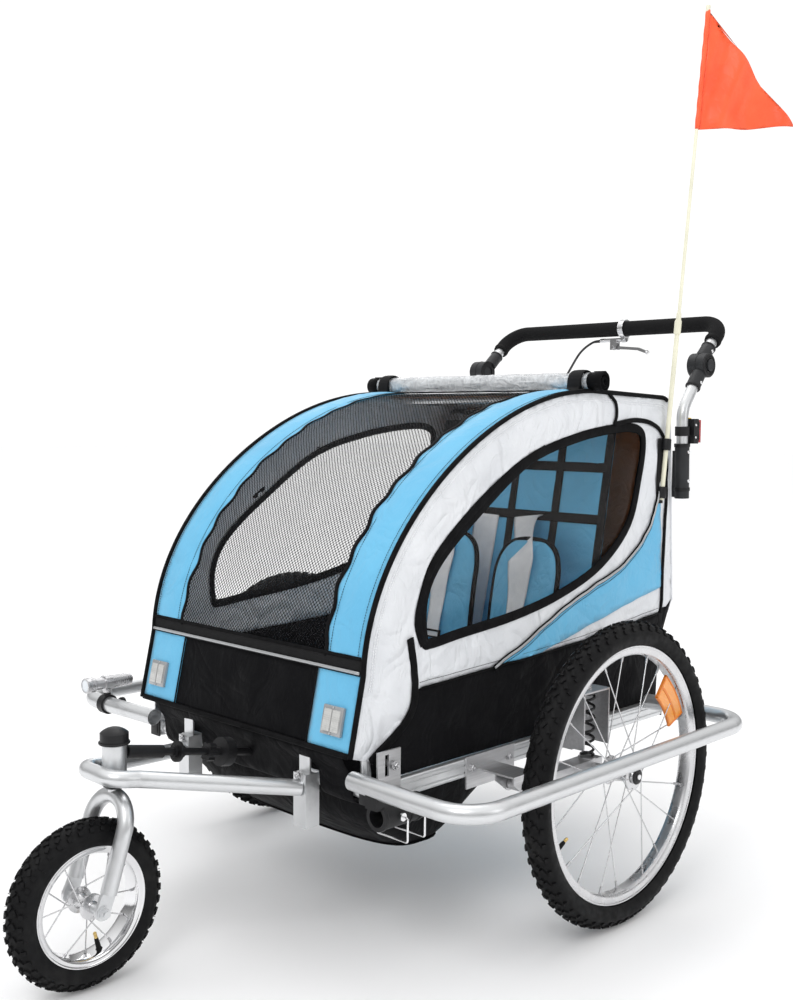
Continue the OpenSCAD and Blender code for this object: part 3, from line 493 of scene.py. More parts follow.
# painted shade: a dark brown sheet standing for the shaded inside of the cabin's back
SHADE_SHEET = shade_sheet_finish()
WINDOW_FILM = clear_film("smoked_window_film", (0.06, 0.05, 0.045), 0.055, 0.08, 0.5, 160, 1.25)
ROLL_FILM = clear_film("creased_clear_film", (0.72, 0.74, 0.76), 0.62, 0.14, 3.0, 22)
REFLECTIVE = plain("reflective_piping", (0.46, 0.47, 0.48), 0.35, 0.6, 0.03)
SILVER_TUBE = tube_paint()
PLATE = pressed_plate()
CHROME = bright_metal("chrome_plate", (0.78, 0.78, 0.79), 0.09)
RIM_METAL = bright_metal("rolled_rim", (0.66, 0.66, 0.67), 0.26)
SPOKE_STEEL = bright_metal("spoke_steel", (0.70, 0.70, 0.71), 0.2)
NUT_STEEL = bright_metal("zinc_nut", (0.55, 0.55, 0.56), 0.3)
BRASS = bright_metal("valve_brass", (0.72, 0.52, 0.20), 0.25)
BLACK_PLASTIC = black_plastic()
GREY_PLASTIC = black_plastic("dark_grey_joint_plastic", (0.021, 0.022, 0.024), 0.4)
RUBBER = tyre_rubber()
FOAM = handle_foam()
# partly painted light: white webbing, made a little lighter to make up for the shade on the belts
# inside the cabin
WHITE_STRAP = webbing("white_webbing", (0.90, 0.91, 0.92), (0.74, 0.75, 0.77))
BLACK_STRAP = webbing("black_webbing", (0.006, 0.006, 0.0065), (0.012, 0.012, 0.013))
CLEAR_PRISM = prism_plastic("clear_prism_reflector", (0.40, 0.40, 0.39), 0.16, 3.0)
REFLECTOR_CASE = plain("clear_reflector_case", (0.34, 0.35, 0.36), 0.16, 0.2, 0.01, 0.3,
                       Coat_Weight=1.0)
AMBER_PRISM = prism_plastic("amber_prism_reflector", (0.86, 0.27, 0.012), 0.2, 2.6)
AMBER_PLASTIC = plain("amber_plastic", (0.74, 0.20, 0.01), 0.24, 0.0, 0.02)
RED_LENS = prism_plastic("red_lens", (0.30, 0.006, 0.008), 0.14, 3.4)
YELLOW_SPOT = plain("yellow_spot", (0.80, 0.52, 0.02), 0.3)
SPRING_ENAMEL = plain("black_spring_enamel", (0.014, 0.014, 0.015), 0.25, 0.2, 0.03)
CABLE_SHEATH = plain("cable_sheath", (0.013, 0.013, 0.014), 0.38, 0.0, 0.04)
LAMP_SHELL = plain("turned_lamp_shell", (0.58, 0.58, 0.59), 0.28, 0.95, 0.02)
LAMP_LENS = plain("lamp_lens", (0.70, 0.74, 0.78), 0.08, 0.0, 0.0, 0.15, Coat_Weight=1.0)
POLE = plain("cream_pole", (0.80, 0.78, 0.62), 0.35, 0.0, 0.02)


def flag_cloth():
    """Thin orange-red flag film, with the creases of its folds in the packet."""
    cloth = Finish("orange_flag_film", (0.88, 0.085, 0.018), 0.42, Sheen_Weight=0.1)
    cloth.creases(80, 1.6, 0.4)
    cloth.creases(22, 0.25, 0.8)
    cloth.tint(cloth.spread(cloth.noise(16, 3.0), 0.35, 0.75, 0.0, 0.5), (0.95, 0.16, 0.05))
    return cloth.material


FLAG_CLOTH = flag_cloth()

# ---- mesh helpers -------------------------------------------------------------------------


def skin_rings(bm, rings, closed=False):
    """Faces between each ring of points and the next, and over the two ends if it has any."""
    for low, high in list(zip(rings, rings[1:])) + ([(rings[-1], rings[0])] if closed else []):
        for k in range(len(low)):
            m = (k + 1) % len(low)
            bm.faces.new((low[k], low[m], high[m], high[k]))
    if not closed:
        bm.faces.new(rings[0][::-1])
        bm.faces.new(rings[-1])


def lay_uv(mesh, spots):
    """Gives a mesh its UV map, from one (u, v) in millimetres for each point."""
    layer = mesh.uv_layers.get("cloth") or mesh.uv_layers.new(name="cloth")
    for corner, index in enumerate(v for face in mesh.polygons for v in face.vertices):
        layer.data[corner].uv = spots[index]


def lay_pad_uv(mesh):
    """The UV map of a pad or cushion: straight from above and from the front."""
    places = [v.co / MM for v in mesh.vertices]
    lay_uv(mesh, [(p.x, p.z + p.y) for p in places])


def shade_smooth(mesh, smooth=True):
    mesh.polygons.foreach_set("use_smooth", [smooth] * len(mesh.polygons))


def finish_mesh(name, bm, material, outward=True):
    """Turns a bmesh into an object at the origin, with its doubles merged and faces outwards."""
    bmesh.ops.remove_doubles(bm, verts=bm.verts, dist=1e-6)
    if outward:
        bmesh.ops.recalc_face_normals(bm, faces=bm.faces)
    mesh = bpy.data.meshes.new(name)
    bm.to_mesh(mesh)
    bm.free()
    mesh.materials.append(material)
    shade_smooth(mesh)
    return linked(name, mesh)


def keep_edges_sharp(piece, angle=35):
    """Smooth shading that breaks at edges sharper than angle."""
    shade_smooth(piece.data)
    piece.data.set_sharp_from_angle(angle=math.radians(angle))
    return piece


def belongs(piece, body="frame", slot=None, *nodes):
    """Rides on its body and stands for the CAD nodes named. slot is not used."""
    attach(piece, body)
    if nodes:
        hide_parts(*nodes)
    return piece


def add_tube(bm, points, radius, sides=8, closed=False, flat=1.0, up=None):
    """Sweeps a round or flattened section along points in metres. radius is one number in
    millimetres, or one for each point; up is the direction in which the section is flattened."""
    points = [Vector(p) for p in points]
    count = len(points)
    radii = radius if isinstance(radius, (list, tuple)) else [radius] * count
    rings, side = [], None
    for i, p in enumerate(points):
        before = points[i - 1] if closed or i else p
        after = points[(i + 1) % count] if closed or i < count - 1 else p
        ahead = (after - before).normalized()
        if up is not None:
            lead = up(p) if callable(up) else up
            side = ahead.cross(lead).normalized()
        elif side is None:
            side = ahead.orthogonal().normalized()
        else:
            side = (side - ahead * side.dot(ahead)).normalized()
        lift = side.cross(ahead)
        rings.append([bm.verts.new(
            p + (side * math.cos(a) + lift * math.sin(a) * flat) * radii[i] * MM)
            for a in circle(sides)])
    skin_rings(bm, rings, closed)


def tube(name, points, radius, material, **more):
    bm = bmesh.new()
    add_tube(bm, points, radius, **more)
    return finish_mesh(name, bm, material)


def add_lathe(bm, profile, centre, axis=(1, 0, 0), steps=48, closed=False):
    """Turns a profile of (along the axis, radius) in millimetres round axis through centre."""
    axis = Vector(axis).normalized()
    across = axis.orthogonal().normalized()
    third = axis.cross(across)
    rings = []
    for along, radius in profile:
        middle = Vector(centre) + axis * along * MM
        if radius < 1e-6:
            rings.append([bm.verts.new(middle)] * steps)
            continue
        rings.append([bm.verts.new(middle + (across * math.cos(a) + third * math.sin(a))
                                   * radius * MM) for a in circle(steps)])
    pairs = list(zip(rings, rings[1:])) + ([(rings[-1], rings[0])] if closed else [])
    for low, high in pairs:
        for k in range(steps):
            m = (k + 1) % steps
            corners = []
            for v in (low[k], low[m], high[m], high[k]):
                if v not in corners:
                    corners.append(v)
            if len(corners) > 2:
                bm.faces.new(corners)


def lathe(name, profile, centre, material, axis=(1, 0, 0), steps=48, closed=False, angle=35):
    bm = bmesh.new()
    add_lathe(bm, profile, centre, axis, steps, closed)
    return keep_edges_sharp(finish_mesh(name, bm, material), angle)


def rounded_profile(length, radius, edge):
    """A solid turned part: a rod of this length and radius with rounded rims."""
    arcs = [math.radians(a) for a in (0, 30, 60, 90)]
    start = [(edge - edge * math.cos(a), radius - edge + edge * math.sin(a)) for a in arcs]
    end = [(length - x, r) for x, r in reversed(start)]
    return [(0, 0)] + start + end + [(length, 0)]


def add_block(bm, centre, size, turn=None, edge=1.0):
    """A box of size in millimetres with bevelled edges, turned by a matrix about its centre."""
    made = bmesh.ops.create_cube(bm, size=1.0)["verts"]
    for v in made:
        v.co = Vector(c * s * MM for c, s in zip(v.co, size))
    if edge:
        edges = list({e for v in made for e in v.link_edges})
        made = bmesh.ops.bevel(bm, geom=edges, offset=edge * MM, segments=2, profile=0.6,
                               affect="EDGES")["verts"]
    made = list(made)
    place = Matrix.Translation(centre) @ (turn.to_4x4() if turn else Matrix.Identity(4))
    bmesh.ops.transform(bm, matrix=place, verts=made)


HEX_EDGE = 0.8          # height of the chamfer on a nut


def add_hex(bm, centre, axis, across_flats, height):
    """A hexagonal nut or bolt head with chamfered corners, standing on centre along axis."""
    axis = Vector(axis).normalized()
    u = axis.orthogonal().normalized()
    v = axis.cross(u)
    rows = ((0, 1.0), (height - HEX_EDGE, 1.0), (height, 0.9))
    skin_rings(bm, [[bm.verts.new(
        Vector(centre) + axis * h * MM
        + (u * math.cos(a) + v * math.sin(a)) * across_flats / 1.732 * k * MM)
        for a in circle(6)] for h, k in rows])


# ---- node trees for what repeats ----------------------------------------------------------


class Tree:
    """A geometry node tree under construction, with named inputs."""

    def __init__(self, name, **inputs):
        self.group = bpy.data.node_groups.new(name, "GeometryNodeTree")
        face = self.group.interface
        face.new_socket("Geometry", in_out="INPUT", socket_type="NodeSocketGeometry")
        face.new_socket("Geometry", in_out="OUTPUT", socket_type="NodeSocketGeometry")
        for label, (kind, value) in inputs.items():
            socket = face.new_socket(label.replace("_", " "), in_out="INPUT",
                                     socket_type="NodeSocket" + kind)
            if value is not None:
                socket.default_value = value
        self.start = self.group.nodes.new("NodeGroupInput")
        self.end = self.group.nodes.new("NodeGroupOutput")

    def add(self, kind, fields=None, **inputs):
        node = self.group.nodes.new(kind)
        for name, value in (fields or {}).items():
            setattr(node, name, value)
        for name, value in inputs.items():
            socket = node.inputs[name.replace("_", " ")]
            if isinstance(value, bpy.types.NodeSocket):
                self.group.links.new(value, socket)
            else:
                socket.default_value = value
        return node

    def given(self, name):
        return self.start.outputs[name.replace("_", " ")]

    def close(self, geometry):
        """Real geometry in one material, which the export keeps."""
        real = self.add("GeometryNodeRealizeInstances", Geometry=geometry)
        coat = self.add("GeometryNodeSetMaterial", Geometry=real.outputs[0],
                        Material=self.given("Material"))
        self.group.links.new(coat.outputs[0], self.end.inputs[0])
        return self.group


def grown(name, tree, seed_mesh, material, smooth=True, **values):
    """Runs a node tree on a seed mesh and keeps the result as a plain mesh piece."""
    seed = linked(name + "_seed", seed_mesh)
    modifier = seed.modifiers.new("grow", "NODES")
    modifier.node_group = tree
    values["Material"] = material
    for item in tree.interface.items_tree:
        if item.in_out == "INPUT" and item.name in values:
            modifier[item.identifier] = values[item.name]
    graph = bpy.context.evaluated_depsgraph_get()
    graph.update()
    mesh = bpy.data.meshes.new_from_object(seed.evaluated_get(graph), depsgraph=graph)
    seed.modifiers.remove(modifier)
    bpy.data.objects.remove(seed)
    mesh.name = name
    shade_smooth(mesh, smooth)
    if not mesh.materials:
        mesh.materials.append(material)
    return linked(name, mesh)


def lines_mesh(name, runs):
    """A mesh of bare edges: one open run for each row of points in metres."""
    verts, edges = [], []
    for run in runs:
        first = len(verts)
        verts += [tuple(p) for p in run]
        edges += [(first + k, first + k + 1) for k in range(len(run) - 1)]
    mesh = bpy.data.meshes.new(name)
    mesh.from_pydata(verts, edges, [])
    return mesh


def stitch_tree():
    """Short rounded stitches laid end to end along every run of edges."""
    tree = Tree("stitch_rows", Pitch=("Float", 0.004), Length=("Float", 0.0028),
                Thread=("Float", 0.0005), Material=("Material", None))
    curve = tree.add("GeometryNodeMeshToCurve", Mesh=tree.given("Geometry"))
    spots = tree.add("GeometryNodeResampleCurve", {"mode": "LENGTH"}, Curve=curve.outputs[0],
                     Length=tree.given("Pitch"))
    tangent = tree.add("GeometryNodeInputTangent")
    turn = tree.add("FunctionNodeAlignRotationToVector", {"axis": "Z"},
                    Vector=tangent.outputs[0])
    stitch = tree.add("GeometryNodeMeshCylinder", {"fill_type": "NGON"}, Vertices=5,
                      Radius=tree.given("Thread"), Depth=tree.given("Length"))
    placed = tree.add("GeometryNodeInstanceOnPoints", Points=spots.outputs[0],
                      Instance=stitch.outputs[0], Rotation=turn.outputs[0])
    return tree.close(placed.outputs[0])


def rod_tree():
    """A round rod along every run of edges, such as spokes and wires."""
    tree = Tree("round_rods", Radius=("Float", 0.001), Sides=("Int", 8),
                Material=("Material", None))
    curve = tree.add("GeometryNodeMeshToCurve", Mesh=tree.given("Geometry"))
    section = tree.add("GeometryNodeCurvePrimitiveCircle", {"mode": "RADIUS"},
                       Resolution=tree.given("Sides"), Radius=tree.given("Radius"))
    rods = tree.add("GeometryNodeCurveToMesh", Curve=curve.outputs[0],
                    Profile_Curve=section.outputs[0], Fill_Caps=True)
    return tree.close(rods.outputs[0])


def block_ring_tree():
    """Tyre blocks in an even ring about the X axis, each set square to the tread."""
    tree = Tree("tread_block_ring", Count=("Int", 60), Radius=("Float", 0.25),
                Offset=("Float", 0.0), Phase=("Float", 0.0), Slant=("Float", 0.0),
                Lean=("Float", 0.0), Size=("Vector", (0.006, 0.01, 0.003)),
                Material=("Material", None))
    ring = tree.add("GeometryNodeMeshCircle", {"fill_type": "NONE"},
                    Vertices=tree.given("Count"), Radius=tree.given("Radius"))
    block = tree.add("GeometryNodeMeshCube", Size=tree.given("Size"))
    here = tree.add("GeometryNodeInputPosition")
    outward = tree.add("FunctionNodeAlignRotationToVector", {"axis": "X"},
                       Vector=here.outputs[0])
    placed = tree.add("GeometryNodeInstanceOnPoints", Points=ring.outputs[0],
                      Instance=block.outputs[0], Rotation=outward.outputs[0])
    slant = tree.add("ShaderNodeCombineXYZ", X=tree.given("Slant"), Y=tree.given("Lean"))
    turned = tree.add("GeometryNodeRotateInstances", Instances=placed.outputs[0],
                      Rotation=slant.outputs[0])
    phase = tree.add("ShaderNodeCombineXYZ", Z=tree.given("Phase"))
    shift = tree.add("ShaderNodeCombineXYZ", Z=tree.given("Offset"))
    real = tree.add("GeometryNodeRealizeInstances", Geometry=turned.outputs[0])
    moved = tree.add("GeometryNodeTransform", Geometry=real.outputs[0],
                     Rotation=phase.outputs[0], Translation=shift.outputs[0])
    upright = tree.add("GeometryNodeTransform", Geometry=moved.outputs[0],
                       Rotation=(0.0, math.pi / 2, 0.0))
    return tree.close(upright.outputs[0])


STITCHES = stitch_tree()
RODS = rod_tree()
TREAD_RING = block_ring_tree()


STITCH_PITCH, STITCH_LENGTH, THREAD_RADIUS = 4.2, 2.9, 0.5


def stitch(name, runs, material):
    """Sewing thread along every run of points given, as one piece."""
    piece = grown(name, STITCHES, lines_mesh(name, runs), material, Pitch=STITCH_PITCH * MM,
                  Length=STITCH_LENGTH * MM, Thread=THREAD_RADIUS * MM)
    return belongs(piece)


# ---- the shape of the cabin ---------------------------------------------------------------

HALF = 264.7            # half the width of the cover between the side panels
SIDE_X = 268.0          # outer face of a side panel
BELT_Z = 455.0
SEAM_X = 182.0          # where the blue bands meet the net
APRON_SEAM = 170.0      # where the apron's blue corners meet the black


NOSE_Y, NOSE_Z = 120, 440        # middle of the curved front
NOSE_AHEAD, NOSE_UP = 566, 443   # its two half axes
NOSE_SAG = 11                    # how far the taut cloth lies inside them halfway up


def nose(angle):
    """(Y, Z) on the curved front, angle degrees up from its foremost place."""
    t = math.radians(angle)
    sag = NOSE_SAG * math.sin(2 * t) ** 2
    return NOSE_Y - (NOSE_AHEAD - sag) * math.cos(t), NOSE_Z + (NOSE_UP - sag) * math.sin(t)


BELT_TURN = math.degrees(math.asin((BELT_Z - NOSE_Z) / NOSE_UP))


def cabin_outline():
    """(Y, Z) round the cabin from the foot of the apron, over the roof, to the rear rail."""
    row = even_line([(-471, 338), nose(BELT_TURN)], 12)
    row += [nose(BELT_TURN + (90 - BELT_TURN) * k / 90) for k in range(1, 91)]
    corner = [(344 + 30 * math.cos(math.radians(a)), 846 + 30 * math.sin(math.radians(a)))
              for a in range(85, -6, -10)]
    row += even_line([row[-1], corner[0]], 12)[1:] + corner[1:]
    row += even_line([corner[-1], (396, 480)], 12)[1:]
    row += even_line([(396, 480), (348.3, 393.3), (342.3, 293.3)], 12)[1:]
    return row


OUTLINE = cabin_outline()
LENGTHS = [0.0]
for before, after in zip(OUTLINE, OUTLINE[1:]):
    LENGTHS.append(LENGTHS[-1] + math.dist(before, after))
V_BELT = math.dist(OUTLINE[0], nose(BELT_TURN))
V_END = LENGTHS[-1]


def length_to(test):
    """Length along the outline to its first point that passes the test."""
    return next(v for v, p in zip(LENGTHS, OUTLINE) if test(p))


V_CROWN = length_to(lambda p: p[0] >= 112)


def along_outline(v):
    """(Y, Z) at length v and the outward direction there."""
    v = max(0.0, min(V_END, v))
    k = 1
    while k < len(LENGTHS) - 1 and LENGTHS[k] < v:
        k += 1
    t = (v - LENGTHS[k - 1]) / (LENGTHS[k] - LENGTHS[k - 1])
    a, b = Vector(OUTLINE[k - 1]), Vector(OUTLINE[k])
    before, after = Vector(OUTLINE[max(0, k - 2)]), Vector(OUTLINE[min(k + 1, len(OUTLINE) - 1)])
    ahead = (b - a).normalized().lerp(((after - before).normalized()), 0.5).normalized()
    return a.lerp(b, t), Vector((-ahead.y, ahead.x))


def shell(u, v, lift=0.0):
    """A place on the cover: u across, v along the outline, lifted outwards."""
    p, out = along_outline(v)
    return at(u, p.x + out.x * lift, p.y + out.y * lift)


def inside(point, loop):
    x, y = point
    odd = False
    for (x0, y0), (x1, y1) in zip(loop, loop[1:] + loop[:1]):
        if (y0 > y) != (y1 > y) and x < (x1 - x0) * (y - y0) / (y1 - y0) + x0:
            odd = not odd
    return odd


def loop_gap(point, loop):
    """Distance from a point to a closed loop."""
    p = Vector(point)
    best = 1e9
    for a, b in zip(loop, loop[1:] + loop[:1]):
        a, d = Vector(a), Vector(b) - Vector(a)
        t = clamp((p - a).dot(d) / max(d.length_squared, 1e-9))
        best = min(best, (p - a - d * t).length)
    return best


SLANTING = 0.34         # a cut that fills less of its upright box lies on the slant
SLANT_FILL = 0.6        # the share of its own strip that such a cut is taken to fill


def cut_cloth(name, loop, place, material, grid=11.0, thick=0.9, holes=()):
    """A cut of cloth. loop and holes are closed rows of (u, v) in millimetres, and place turns
    (u, v, distance from the cut's edge) into a point of the frame."""
    loops = [even_line(loop, grid, True)] + [even_line(h, grid, True) for h in holes]
    spots, edges = [], []
    for row in loops:
        first = len(spots)
        spots += row
        edges += [(first + k, first + (k + 1) % len(row)) for k in range(len(row))]
    us, vs = [p[0] for p in loops[0]], [p[1] for p in loops[0]]
    columns = round((max(us) - min(us)) / grid)
    rows = round((max(vs) - min(vs)) / grid)
    for i in range(1, columns):
        for k in range(1, rows):
            p = (min(us) + i * grid + (grid / 2 if k % 2 else 0), min(vs) + k * grid)
            if inside(p, loops[0]) and not any(inside(p, h) for h in loops[1:]) \
                    and min(loop_gap(p, row) for row in loops) > grid * 0.4:
                spots.append(p)
    flat, _, faces, *_ = delaunay_2d_cdt([Vector(p) for p in spots], edges, [], 0, 1e-4)
    kept = []
    for face in faces:
        middle = sum((flat[i] for i in face), Vector((0, 0))) / len(face)
        if inside(middle, loops[0]) and not any(inside(middle, h) for h in loops[1:]):
            kept.append(tuple(face))
    mesh = bpy.data.meshes.new(name)
    mesh.from_pydata([place(p.x, p.y, min(loop_gap(p, row) for row in loops)) for p in flat],
                     [], kept)
    area = 0.0
    for face in kept:
        ring = [flat[i] for i in face]
        area += 0.5 * abs(sum(a.x * b.y - b.x * a.y for a, b in zip(ring, ring[1:] + ring[:1])))
    width, length = (max(us) - min(us)) * MM, (max(vs) - min(vs)) * MM
    area *= MM * MM
    if area < SLANTING * width * length:
        length = math.hypot(width, length)
        width = area / (SLANT_FILL * length)
    lay_uv(mesh, [(p.x, p.y) for p in flat])
    mesh.materials.append(material)
    shade_smooth(mesh)
    mesh.update()
    piece = linked(name, mesh)
    used = {v for face in kept for v in face}
    bm = bmesh.new()
    bm.from_mesh(mesh)
    bm.verts.ensure_lookup_table()
    bmesh.ops.delete(bm, geom=[v for v in bm.verts if v.index not in used], context="VERTS")
    bm.to_mesh(mesh)
    bm.free()
    wall = piece.modifiers.new("cloth thickness", "SOLIDIFY")
    wall.thickness = thick * MM
    wall.offset = -1.0
    wall.use_even_offset = False
    return piece


def face_towards(piece, towards):
    """Turns a cut of cloth over, where need be, so that its right side faces outwards."""
    bm = bmesh.new()
    bm.from_mesh(piece.data)
    score = sum(f.normal.dot(towards(f.calc_center_median())) * f.calc_area() for f in bm.faces)
    if score < 0:
        bmesh.ops.reverse_faces(bm, faces=bm.faces)
        bm.to_mesh(piece.data)
    bm.free()
    return piece


def from_axis(point):
    """Outwards from a line across the middle of the cabin."""
    return Vector((0, point.y - at(0, 0, 0).y, point.z - 0.5))


def sew(name, loop, place, material, grid, slot, *nodes, thick=0.9, holes=(), towards=from_axis):
    """Cuts a piece of cloth, turns its right side towards the outside and fixes it on."""
    cloth = face_towards(cut_cloth(name, loop, place, material, grid, thick, holes), towards)
    return belongs(cloth, "frame", slot, *nodes)


def tape(name, points, width, material=None, up=None, height=0.34, closed=False):
    """A folded binding tape or piping along a row of points in metres."""
    piece = tube(name, points, width / 2, material or BINDING, sides=8, flat=height, up=up,
                 closed=closed)
    return belongs(piece)


# ---- side cloth ---------------------------------------------------------------------------

WINDOW = smooth_line([(-317, 493), (-318, 555), (-283, 613), (-189, 686), (-62, 764), (79, 802),
                      (210, 818), (268, 812), (281, 786), (270, 728), (237, 640), (150, 572),
                      (30, 530), (-98, 506), (-234, 493), (-300, 486)], 6, closed=True)
PIPING = smooth_line([(336, 716), (326, 687), (294, 624), (217, 566), (117, 532), (24, 499),
                      (-64, 462), (-157, 428)], 6)
SWOOSH_LOW = smooth_line([(349, 512), (259, 496), (119, 467), (-30, 436), (-157, 428)], 6)
SKIRT_TOP = smooth_line([(-330, 421), (-157, 428), (26, 436), (180, 447), (336, 462)], 5)
BAND_EDGE = smooth_line([(-352, 500), (-343, 455), (-345, 400), (-372, 362), (-432, 326)], 5)
REAR_SEAM = smooth_line([(182, 824), (245, 832), (300, 827), (340, 806), (360, 758), (358, 643),
                         (350, 486), (346, 462)], 5)


def side_swell(side, y, z):
    """How far the cloth stands out of a side's plane: taut by its seams, fuller between."""
    gap = min(loop_gap((y, z), OUTLINE[::3]), loop_gap((y, z), WINDOW[::3]))
    full = 5.0 * ease(gap / 70)
    pucker = 3.2 * ease(gap / 22) * wave(y, z, 0, 46, side)
    fold = 2.0 * ease(gap / 26) * wave(y * 0.4 + z, z - y * 0.5, 0, 24, side + 5)
    return full + pucker + fold


def side_place(side, proud=0.0):
    """Places a cut on a side of the cabin, over the cuts that are less proud."""
    def place(y, z, edge=0):
        return at(side * (SIDE_X - 0.9 + proud + side_swell(side, y, z)), y, z)
    return place


def film_place(side, crumple):
    def place(y, z, edge):
        ripple = crumple * ease(edge / 30) * wave(y, z, 0, 90, side + 8)
        return at(side * (SIDE_X - 3.3 + ripple), y, z)
    return place


def side_tape(name, row, side, width, proud=1.2, material=None, height=0.34, closed=False):
    place = side_place(side, proud)
    return tape(name, [place(y, z) for y, z in row], width, material, Vector((side, 0, 0)),
                height, closed)


def side_cloth(name, side):
    def outward(p):
        return Vector((side, 0, 0))

    front_edge = [p for p in OUTLINE if p[0] < 112 or p[1] > 870]
    roof_end = OUTLINE.index(front_edge[-1])
    # the window opens in the whole side, so the white cloth is cut in one with it
    foot = [(-432, 326), (-372, 362), (-345, 400), (-340, 418)]
    white = OUTLINE[::2] + [(372, 452), (350, 440)] + SKIRT_TOP[::-3] + foot[::-1]
    white = [p for p in white if not (p[1] < 437 and p[0] > 340)]
    sew(name + "_white_cloth", white, side_place(side), WHITE_CLOTH, 12.0, "white_cloth",
        name + "_side_panel", holes=[WINDOW[::2]], towards=outward)
    skirt = SKIRT_TOP + [(350, 470), (374, 470), (392, 482), (350, 396), (344, 294),
                         (-200, 294), (-395, 294), (-432, 326)] + foot[1:]
    sew(name + "_black_skirt", skirt, side_place(side, 0.9), BLACK_CLOTH, 12.0, "black_cloth",
        towards=outward)
    sew(name + "_blue_swoosh", PIPING[::3] + SWOOSH_LOW[-4:0:-3] + [(350, 512)],
        side_place(side, 1.8), BLUE_CLOTH, 11.0, "blue_cloth", towards=outward)
    sew(name + "_window_film", WINDOW[::3], film_place(side, 2.2), WINDOW_FILM, 13.0,
        "clear_film", "side_windows", thick=0.5, towards=outward)
    side_tape(name + "_window_binding", WINDOW, side, 17, 1.4, height=0.22, closed=True)
    side_tape(name + "_window_inner_binding", WINDOW, side, 11, -3.4, height=0.2, closed=True)
    strip_row = smooth_line([(-318, 486), (-331, 520), (-318, 570), (-290, 618), (-202, 688),
                             (-98, 750), (-20, 781)], 5)
    side_tape(name + "_window_front_strip", strip_row, side, 17, 1.5, height=0.22)
    side_tape(name + "_band_binding", BAND_EDGE, side, 15, 1.6, height=0.3)
    side_tape(name + "_rear_seam_binding", REAR_SEAM, side, 9, 2.4, height=0.45)
    side_tape(name + "_swoosh_tape", PIPING, side, 9, 3.0, height=0.5)
    side_tape(name + "_reflective_piping", PIPING, side, 5, 4.7, REFLECTIVE, 0.5)
    side_tape(name + "_skirt_seam", SKIRT_TOP, side, 4, 2.6, height=0.4)
    roof_seam = smooth_line([(163, 880), (182, 864), (186, 842), (182, 824)], 5)
    side_tape(name + "_roof_seam", roof_seam, side, 8, 2.4, height=0.45)
    edge = [at(side * (HALF + 2.4), y, z) for y, z in front_edge]
    tape(name + "_hoop_binding", edge, 8.5, up=None, height=1.0)
    rest = [at(side * (HALF + 2.4), y, z) for y, z in OUTLINE[roof_end:] if z > 478]
    tape(name + "_rear_piping", rest, 4.0, WHITE_CLOTH, height=1.0)
    runs = []
    for gap in (13.0, 17.0):
        row = [(y + (120 - y) * gap / 480, z - max(0.0, z - 430) * gap / 470)
               for y, z in front_edge[8::2]]
        runs.append([at(side * (SIDE_X + 1.1), y, z) for y, z in row])
    stitch(name + "_band_stitches", runs, WHITE_STRAP)
    rows = [[side_place(side, 2.6)(y + 2, z - 8) for y, z in PIPING],
            [side_place(side, 1.6)(y, z + 9) for y, z in SKIRT_TOP]]
    stitch(name + "_swoosh_stitches", rows, BLACK_STRAP)


for label, turn in SIDES:
    side_cloth(label, turn)


# ---- front cover, apron and rear ----------------------------------------------------------


def cover_place(proud=0.0, swell=3.0, crumple=2.0, across=60, seed=0.0):
    """Places a cut on the cover, a little fuller in its middle and puckered."""
    def place(u, v, edge):
        full = swell * ease(edge / across)
        pucker = crumple * ease(edge / 20) * wave(u, v * 0.5, 0, 42, seed)
        fold = 0.4 * crumple * ease(edge / 26) * wave(u * 0.6, v, 0, 23, seed + 2)
        return shell(u, v, -1.0 + proud + full + pucker + fold)
    return place


def strip(u0, u1, v0, v1):
    return [(u0, v0), (u1, v0), (u1, v1), (u0, v1)]


def cover_tape(name, u0, u1, v0, v1, width, proud=1.0, material=None, height=0.3):
    """A tape on the cover between two places of its cut."""
    steps = max(2, round(math.dist((u0, v0), (u1, v1)) / 9))
    row = [(u0 + (u1 - u0) * k / steps, v0 + (v1 - v0) * k / steps) for k in range(steps + 1)]
    points = [shell(u, v, proud) for u, v in row]
    lift = along_outline((v0 + v1) / 2)[1]
    up = from_axis if abs(v1 - v0) > 60 else Vector((0, lift.x, lift.y))
    return tape(name, points, width, material, up, height)


def seam_row(v0, v1, gap=0.0):
    """The puckered seam between a blue band and the net, as places (u, v) going up."""
    steps = round((v1 - v0) / 9)
    heights = [v0 + (v1 - v0) * k / steps for k in range(steps + 1)]
    return [(SEAM_X + gap + 3.4 * math.sin(v / 10.5) + 1.6 * math.sin(v / 23), v)
            for v in heights]


